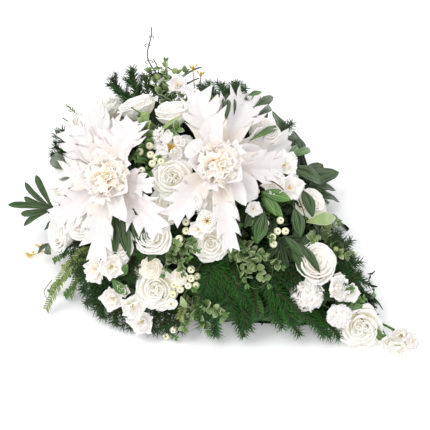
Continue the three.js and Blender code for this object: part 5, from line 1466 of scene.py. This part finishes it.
# the curly twig at the top: two strands wound round each other, with tendrils
willowSettings = {
    "foot": (-108, 90, 149),
    "path": [(-121, 97, 177), (-146, 109, 230), (-175, 121, 366)],
    "steps": 60, "tendrilSteps": 15, "tendrilTurn": 4.2,
    # strands: phase, share of the path, turns and swing; tendrils: share of the path, size and side
    "strands": [(0.4, 1.0, 1.9, 9), (math.pi, 0.74, 2.3, 7)],
    "tendrils": [(0.35, 18, 1), (0.5, 15, -1), (0.62, 17, 1), (0.7, 14, -1), (0.86, 10, -1), (0.93, 9, 1)],
}


def makeWillow(spec):
    steps, bits = spec["steps"], spec["tendrilSteps"]
    middle = bendPoints(*(Vector(p) for p in spec["path"]), steps)
    paths = [([Vector(spec["foot"]), middle[0]], 2.6, 1.8)]
    for phase, reach, turns, swing in spec["strands"]:
        points = []
        for i in range(steps + 1):
            share = i / steps * reach
            angle = phase + share * turns * math.tau
            off = swing * min(share * 2.5, 1)
            spot = middle[min(int(share * steps), steps)]
            points.append(spot + viewRight * math.cos(angle) * off + toViewer * math.sin(angle) * off)
        paths.append((points, 2.0, 1.1))
    for share, size, side in spec["tendrils"]:
        points = []
        for i in range(bits + 1):
            turn = i / bits * spec["tendrilTurn"]
            reach = size * (1 - i / bits) ** 0.7
            across = viewRight * side * (size * 0.75 - reach * math.cos(turn) * 0.75)
            points.append(middle[int(share * steps)] + across + viewUp * reach * math.sin(turn) * 0.6)
        paths.append((points, 1.0, 0.6))
    settle(joinAll("twig_willow_fine", [tubes("willow", paths, plains["willow bark"])]), "willow", "twig_willow")


makeWillow(willowSettings)
print("willow made")

# moss and short dark leaves that cover the foam, so no bare foam shows between the flowers
foamArea = {"reach": 430, "side": 0.5, "heights": (2, 250), "near": 16, "back": -215}
mossSettings = {
    "count": 4300, "seed": 12, "reach": (9, 22), "stray": (0.6, 0.6, 0.4), "width": 0.36, "depth": 3, "lowest": 3,
    "lowestTip": 1.5,
}
lowLeafSettings = {
    "count": 620, "seed": 5, "reach": (38, 70), "rise": (0.25, 0.75), "freshShare": 0.25, "width": (0.3, 0.42),
    "depth": 6, "lowestTip": 4, "inside": 6,
}
tuftSettings = {
    "count": 150, "seed": 9, "reach": (34, 58), "rise": (0.4, 0.9), "needle": 20, "lowestTip": 14, "inside": 12,
}


def foamSpots(seed):
    # endless random places on the foam, each with the way out
    dice = random.Random(seed)
    while True:
        angle = dice.uniform(0, math.tau)
        reach = foamArea["reach"] * math.sqrt(dice.random())
        across = math.sin(angle) * reach * foamArea["side"]
        spot = Vector((math.cos(angle) * reach, across, dice.uniform(*foamArea["heights"])))
        gap = moundGap(spot, foam)
        if abs(gap) < foamArea["near"] and spot.x > foamArea["back"]:
            normal = moundNormal(spot, foam)
            yield spot - normal * gap, normal


def growAll(name, slot, spec, growOne):
    # until the count is reached, growOne adds to the sets and the paths what stands on one place, if it fits there
    dice = random.Random(spec["seed"])
    sets, paths, grown = defaultdict(list), [], 0
    for spot, normal in foamSpots(spec["seed"]):
        grown += growOne(sets, paths, spec, dice, spot, normal)
        if grown == spec["count"]:
            break
    assemble(name, slot, [], patternsOf(sets), (paths, "brown twig"))


def growMoss(sets, paths, spec, dice, spot, normal):
    lean = Vector([dice.gauss(0, stray) for stray in spec["stray"]])
    way = (normal + lean).normalized()
    size = dice.uniform(*spec["reach"])
    end = spot + way * size
    fits = spot.z > spec["lowest"] and end.z > spec["lowestTip"]
    if fits:
        over = spun(way.orthogonal(), way, dice.uniform(0, 6))
        start = spot - way * spec["depth"]
        sets["mossLeaf"].append((bladeAt(start, end, over, size * spec["width"]), dice.random()))
    return fits


def sideOf(normal, dice):
    return spun(normal.orthogonal().normalized(), normal, dice.uniform(0, math.tau))


def growLowLeaf(sets, paths, spec, dice, spot, normal):
    # a leaf that lies over its neighbours on the mound
    side = (sideOf(normal, dice) - upward * 0.5).normalized()
    way = (side + normal * dice.uniform(*spec["rise"])).normalized()
    size = dice.uniform(*spec["reach"])
    end = spot + way * size
    fits = end.z > spec["lowestTip"] and moundGap(end, shell) < -spec["inside"]
    if fits:
        look = "lowFreshLeaf" if dice.random() < spec["freshShare"] else "lowLeaf"
        width = size * dice.uniform(*spec["width"])
        sets[look].append((bladeAt(spot - way * spec["depth"], end, normal, width), dice.random()))
    return fits


def growTuft(sets, paths, spec, dice, spot, normal):
    # a short pine shoot
    way = (sideOf(normal, dice) * 0.8 + normal * dice.uniform(*spec["rise"])).normalized()
    tip = spot + way * dice.uniform(*spec["reach"])
    fits = tip.z > spec["lowestTip"] and moundGap(tip, shell) < -spec["inside"]
    if fits:
        path = bendPoints(spot - normal * 4, spot + normal * 12, tip, 6)
        paths.append((path, 1.1, 0.6))
        sets["pine"] += needlesAlong(path, spec["needle"], len(paths))
    return fits


growAll("moss", "foam", mossSettings, growMoss)
growAll("low_leaves", "leaf", lowLeafSettings, growLowLeaf)
growAll("pine_tufts", "pine", tuftSettings, growTuft)
# the foam gets a near-black finish: painted shade in the gaps
foamBlock = frame["nodes"]["foam_mound"]
foamBlock.data.materials.clear()
foamBlock.data.materials.append(plains["foam in painted shade"])
print("moss, low leaves and tufts made")

# small greens between the flowers
sprigSettings = {
    # from and to in the grid of the viewpoint, lift of both ends over the shell, size of the leaves or needles
    "pine": [
        (92, 258, 76, 272, -30, -6, 20), (95, 268, 82, 290, -32, -8, 22), (101, 280, 90, 302, -30, -8, 22),
        (108, 292, 100, 315, -30, -8, 22), (118, 300, 114, 323, -30, -8, 20), (136, 305, 130, 330, -30, -10, 20),
        (154, 305, 152, 331, -30, -8, 20), (162, 308, 167, 333, -30, -8, 20), (176, 305, 180, 332, -30, -8, 20),
        (75, 238, 62, 252, -34, -12, 18), (255, 240, 262, 262, -34, -14, 20), (262, 262, 272, 286, -32, -14, 22),
        (285, 262, 292, 284, -32, -14, 22), (300, 268, 296, 292, -32, -14, 20), (330, 275, 322, 292, -28, -10, 20),
        (326, 242, 341, 238, -26, -8, 18), (332, 259, 346, 259, -26, -8, 18), (340, 276, 356, 281, -24, -6, 17),
        (68, 146, 56, 134, -20, 2, 22), (66, 152, 54, 147, -20, 0, 20), (122, 92, 112, 78, -24, 0, 22),
        (134, 88, 130, 72, -24, 0, 22), (144, 92, 146, 76, -24, -4, 20), (210, 100, 204, 86, -22, 0, 20),
        (224, 102, 222, 84, -22, 0, 22), (236, 100, 240, 84, -22, 0, 22), (190, 240, 186, 262, -34, -16, 18),
        (128, 255, 134, 278, -34, -18, 18), (192, 256, 196, 280, -34, -16, 20),
    ],
    "brightPine": [
        (206, 282, 203, 326, -16, -6, 24), (216, 276, 214, 334, -14, -6, 24), (240, 282, 245, 330, -14, -6, 24),
        (250, 284, 258, 316, -16, -8, 22), (276, 290, 292, 322, -14, -6, 24), (304, 302, 324, 334, -12, -6, 24),
        (250, 298, 250, 328, -16, -10, 20), (275, 302, 282, 328, -16, -10, 20), (318, 312, 340, 338, -10, -4, 22),
        (216, 258, 205, 286, -14, -4, 24), (232, 262, 240, 292, -12, -4, 24),
    ],
    "smallLeaf": [
        (148, 150, 138, 142, -16, 4, 9), (150, 158, 136, 160, -16, 2, 9), (152, 150, 150, 138, -16, 4, 9),
        (160, 160, 170, 152, -18, 0, 8), (152, 166, 140, 172, -16, 0, 10), (156, 168, 150, 176, -16, 0, 9),
        (146, 156, 136, 152, -16, 4, 10), (154, 146, 160, 158, -16, 4, 8), (180, 252, 176, 240, -18, 2, 9),
        (184, 246, 194, 238, -18, 2, 9), (266, 226, 272, 240, -16, 4, 9), (262, 232, 252, 224, -16, 4, 9),
        (264, 238, 252, 240, -16, 2, 9), (268, 230, 262, 214, -16, 2, 8), (180, 268, 190, 256, -16, 4, 9),
        (182, 282, 196, 290, -16, 2, 9), (164, 328, 176, 338, -18, 0, 8), (340, 300, 352, 288, -18, 2, 10),
        (352, 306, 364, 298, -16, 0, 9), (370, 338, 380, 330, -10, 4, 9), (62, 250, 54, 262, -18, 0, 9),
        (82, 268, 66, 296, -20, 4, 10), (74, 262, 50, 292, -20, 4, 10), (200, 230, 192, 246, -24, -8, 9),
        (292, 200, 302, 186, -22, -6, 10), (238, 236, 246, 252, -18, 0, 9),
    ],
    "eucalyptusLeaf": [
        (150, 144, 144, 122, -18, 6, 20), (158, 146, 177, 130, -18, 4, 18), (168, 262, 176, 244, -18, 2, 14),
        (236, 268, 232, 244, -16, 4, 14), (250, 262, 268, 252, -16, 4, 14), (196, 306, 184, 328, -14, 4, 15),
        (206, 300, 222, 318, -14, 4, 15), (330, 250, 348, 256, -12, 4, 14), (324, 226, 312, 240, -14, 2, 17),
        (176, 84, 160, 68, -16, 4, 15), (186, 90, 178, 72, -16, 4, 14),
    ],
    "fernLeaf": [(90, 124, 67, 106, -14, 6, 9), (186, 296, 180, 318, -14, 4, 12), (88, 250, 64, 268, -18, 6, 13)],
    # single leaves: the last figure is their width
    "stripedLeaf": [(262, 194, 276, 216, -8, 2, 15), (246, 98, 262, 92, -10, 0, 12), (206, 92, 214, 112, -14, -4, 14)],
    "broadLeaf": [
        (144, 212, 150, 240, -14, -4, 18), (124, 216, 118, 246, -12, -2, 18), (160, 240, 148, 262, -20, -8, 18),
        (224, 96, 226, 120, -14, -2, 16), (310, 232, 296, 262, -20, -8, 20), (298, 242, 320, 273, 0, 10, 16),
        (290, 246, 305, 276, -8, 2, 15), (284, 236, 304, 258, -2, 6, 15),
    ],
    "paleLeaf": [(158, 134, 182, 115, 0, 8, 7), (168, 78, 168, 60, 0, 4, 8), (186, 308, 181, 296, -6, 6, 12)],
}
tendrilSettings = [
    [(236, 262), (243, 279), (256, 289), (271, 278), (272, 262)], [(250, 262), (246, 276), (238, 284), (234, 276)],
    [(262, 258), (275, 262), (280, 250)], [(186, 262), (196, 270), (202, 262)], [(330, 246), (338, 241), (345, 250)],
    [(166, 150), (160, 136), (168, 128)], [(196, 318), (206, 330), (216, 324)], [(52, 280), (44, 292), (50, 302)],
]
brownTwigSettings = [
    [(254, 182), (264, 178), (276, 173), (292, 176)], [(264, 178), (274, 182), (284, 190)],
    [(206, 210), (208, 219), (212, 226)], [(206, 214), (212, 218), (216, 214)],
]
sprigPitch = {"smallLeaf": 5.5, "eucalyptusLeaf": 13, "fernLeaf": 5}


def tendrilPoints(marks, lift):
    # a smooth thin line over the shell through places of the grid
    knots = [place(at, lift)[0] for at in marks]
    found = []
    for k, (a, b) in enumerate(zip(knots[:-1], knots[1:])):
        before, after = knots[max(k - 1, 0)], knots[min(k + 2, len(knots) - 1)]
        for t in (i / 6 for i in range(6)):
            bow = (2 * before - 5 * a + 4 * b - after) * t**2 + (3 * a - before - 3 * b + after) * t**3
            found.append(0.5 * ((2 * a) + (b - before) * t + bow))
    return found + [knots[-1]]


def addSprig(sets, greenPaths, brownPaths, kind, k, row):
    dice = random.Random(k * 13 + len(kind))
    x, y, endX, endY, low, high, size = row
    start, normal = place((x, y), low)
    tip = place((endX, endY), high)[0]
    tip.z = max(tip.z, 8)
    over = normal.lerp(toViewer, 0.4).normalized()
    root = start - normal * max(0.0, moundGap(start, foam) + 6)
    path = bendPoints(root, start.lerp(tip, 0.4) + over * 6, tip, 12)
    if kind in ("pine", "brightPine"):
        brownPaths.append((path, 1.5, 0.8))
        sets[kind] += needlesAlong(path, size, k, 3.4)
        for shoot in sideShoots(path, k) if kind == "pine" else ():
            brownPaths.append((shoot, 0.9, 0.6))
            sets[kind] += needlesAlong(shoot, size * 0.85, k)
    elif kind in sprigPitch:
        greenPaths.append((path, 1.1, 0.6))
        for spot, way, mark in evenPoints(path, sprigPitch[kind], (start - root).length * 0.6)[0]:
            across = way.cross(over).normalized()
            for side in (-1, 1):
                out = spun(across * side, way, dice.uniform(-0.7, 0.7))
                aim = (out + way * dice.uniform(0.5, 1.1)).normalized()
                reach = size * dice.uniform(0.65, 1.05)
                face = over + out * dice.uniform(-0.6, 0.6)
                width = reach * (0.4 if kind == "fernLeaf" else 0.68)
                sets[kind].append((bladeAt(spot, spot + aim * reach, face, width), dice.random()))
    else:
        greenPaths.append((bendPoints(root, start - over * 6, start + (tip - start) * 0.04, 6), 1.2, 0.9))
        sets[kind].append((bladeAt(start, tip, over, size), dice.random()))


def makeSprigs(spec):
    sets, greenPaths, brownPaths = defaultdict(list), [], []
    for kind, rows in spec.items():
        for k, row in enumerate(rows):
            addSprig(sets, greenPaths, brownPaths, kind, k, row)
    greenPaths += [(tendrilPoints(marks, 2), 0.9, 0.4) for marks in tendrilSettings]
    brownPaths += [(tendrilPoints(marks, 12), 1.7, 0.8) for marks in brownTwigSettings]
    assemble("sprigs", "leaf", [], patternsOf(sets), (greenPaths, "green stem"), (brownPaths, "brown twig"))


makeSprigs(sprigSettings)
print("sprigs made")

# small flowers and buds over the others, each on its own stem down to the foam
smallHeadSettings = {
    # slot, then pattern, place in the grid of the viewpoint, lift over the shell and size
    "small_blossoms": (
        "blossom", ("orchid", 201, 204, 8, 13), ("orchid", 212, 195, 8, 10), ("brownEyed", 207, 221, 16, 22),
        ("brownEyed", 75, 126, 0, 19), ("orchid", 253, 209, -4, 17), ("greenEyed", 171, 304, -2, 13),
        ("greenEyed", 248, 178, 2, 6), ("greenEyed", 253, 185, 2, 6), ("greenEyed", 257, 191, 0, 6),
        ("brownEyed", 408, 342, 4, 19), ("orchid", 164, 84, -6, 14), ("azalea", 124, 290, -8, 15),
        ("orchid", 338, 278, -6, 12), ("azalea", 290, 158, -2, 14),
    ),
    "small_roses": (
        "rose", ("roseCupped", 168, 205, -26, 32), ("roseLoose", 185, 150, -24, 24), ("roseCupped", 119, 253, -24, 22),
    ),
    "small_buds": (
        "bud_twig", ("greenBall", 145, 116, 6, 9), ("greenBall", 157, 77, 4, 8), ("greenBall", 175, 71, 4, 7),
        ("greenBall", 346, 255, 0, 5), ("greenBall", 336, 249, 0, 5),
    ),
}
# a longer stem would start past the end of the foam, so it runs back to it
smallStems = {"seed": 31, "longest": 70, "back": (-34, 4, 2)}


def makeSmallHeads(spec):
    dice = random.Random(smallStems["seed"])
    kinds = {**florets, **roseKinds, "greenBall": greenBall}
    for name, (slot, *rows) in spec.items():
        sets, paths = [], []
        for kind, x, y, lift, size in rows:
            spot, normal = place((x, y), lift)
            face = normal.lerp(toViewer, 0.5).normalized()
            sets.append((kinds[kind], [(frameAt(spot, face, dice.uniform(0, 360), size), dice.random())]))
            gap = moundGap(spot, foam) + 4
            way = Vector(smallStems["back"]) if gap >= smallStems["longest"] else -normal * max(4.0, gap)
            root = spot + way
            paths.append((bendPoints(spot - face * size * 0.2, spot - face * size * 0.7, root, 8), 1.1, 1.3))
            if slot == "rose":
                sets.append((roseCup, [(frameAt(spot - face * size * 0.6, face, 0, size), 0.5)]))
        assemble(name, slot, [], sets, (paths, "green stem"))


makeSmallHeads(smallHeadSettings)
print("small heads made")

# patterns are no part of the object
for pattern in [o for o in bpy.context.scene.objects if o.type == "MESH" and o.hide_render and "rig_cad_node" not in o]:
    bpy.data.objects.remove(pattern)

# floor, light and camera
stageSettings = {
    "sky": 0.8, "floorGlow": 0.2, "aim": (0.08, 0, 0.12),
    "lamps": {  # place, size and power
        "key": ((-1.1, -1.7, 3.6), 2.4, 72), "fill": ((2.8, -2.4, 2.0), 2.2, 20), "rim": ((0.5, 3.0, 2.6), 1.8, 18),
    },
}

floor = primitive(bpy.ops.mesh.primitive_plane_add, size=80)
floor.name = "floor"
floorMaterial, floorTree, floorShader = newMaterial("pale floor")
floorCloud = noise(floorTree, addNode(floorTree, "TexCoord", {})["Object"], 3, 2)
fill(floorTree, floorShader, {
    "Base Color": ramp(floorTree, floorCloud, (0.3, (0.9, 0.9, 0.92)), (0.7, (0.93, 0.93, 0.94))),
    "Roughness": 0.9, "Emission Color": (1, 1, 1), "Emission Strength": stageSettings["floorGlow"],
})
floor.data.materials.append(floorMaterial)
floor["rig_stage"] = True

world = bpy.data.worlds.new("studio")
bpy.context.scene.world = world
world.use_nodes = True
fill(world.node_tree, world.node_tree.nodes["Background"], {"Color": (1, 1, 1), "Strength": stageSettings["sky"]})

for lampName, (lampSpot, lampSize, lampPower) in stageSettings["lamps"].items():
    lampData = bpy.data.lights.new(lampName, "AREA")
    lampData.shape = "DISK"
    lampData.size = lampSize
    lampData.energy = lampPower
    lamp = linked(lampName, lampData)
    lamp.location = lampSpot
    lamp.rotation_euler = (Vector(stageSettings["aim"]) - Vector(lampSpot)).to_track_quat("-Z", "Y").to_euler()
bpy.context.scene.view_settings.view_transform = "Standard"

cameraData = bpy.data.cameras.new("camera")
cameraData.lens = viewSettings["lens"]
cameraData.sensor_width = 36
cameraData.clip_end = 200
camera = linked("camera", cameraData)
camera.location = eye * mm
camera.rotation_euler = (-toViewer).to_track_quat("-Z", "Y").to_euler()
bpy.context.scene.camera = camera
print("stage set")

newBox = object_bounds()
"[" + ",\n".join(str([round(v, 5) for v in corner]) for corner in (*cadBox, *newBox)) + "]\n"
print("sizes", [round(v, 3) for corner in (*cadBox, *newBox) for v in corner])
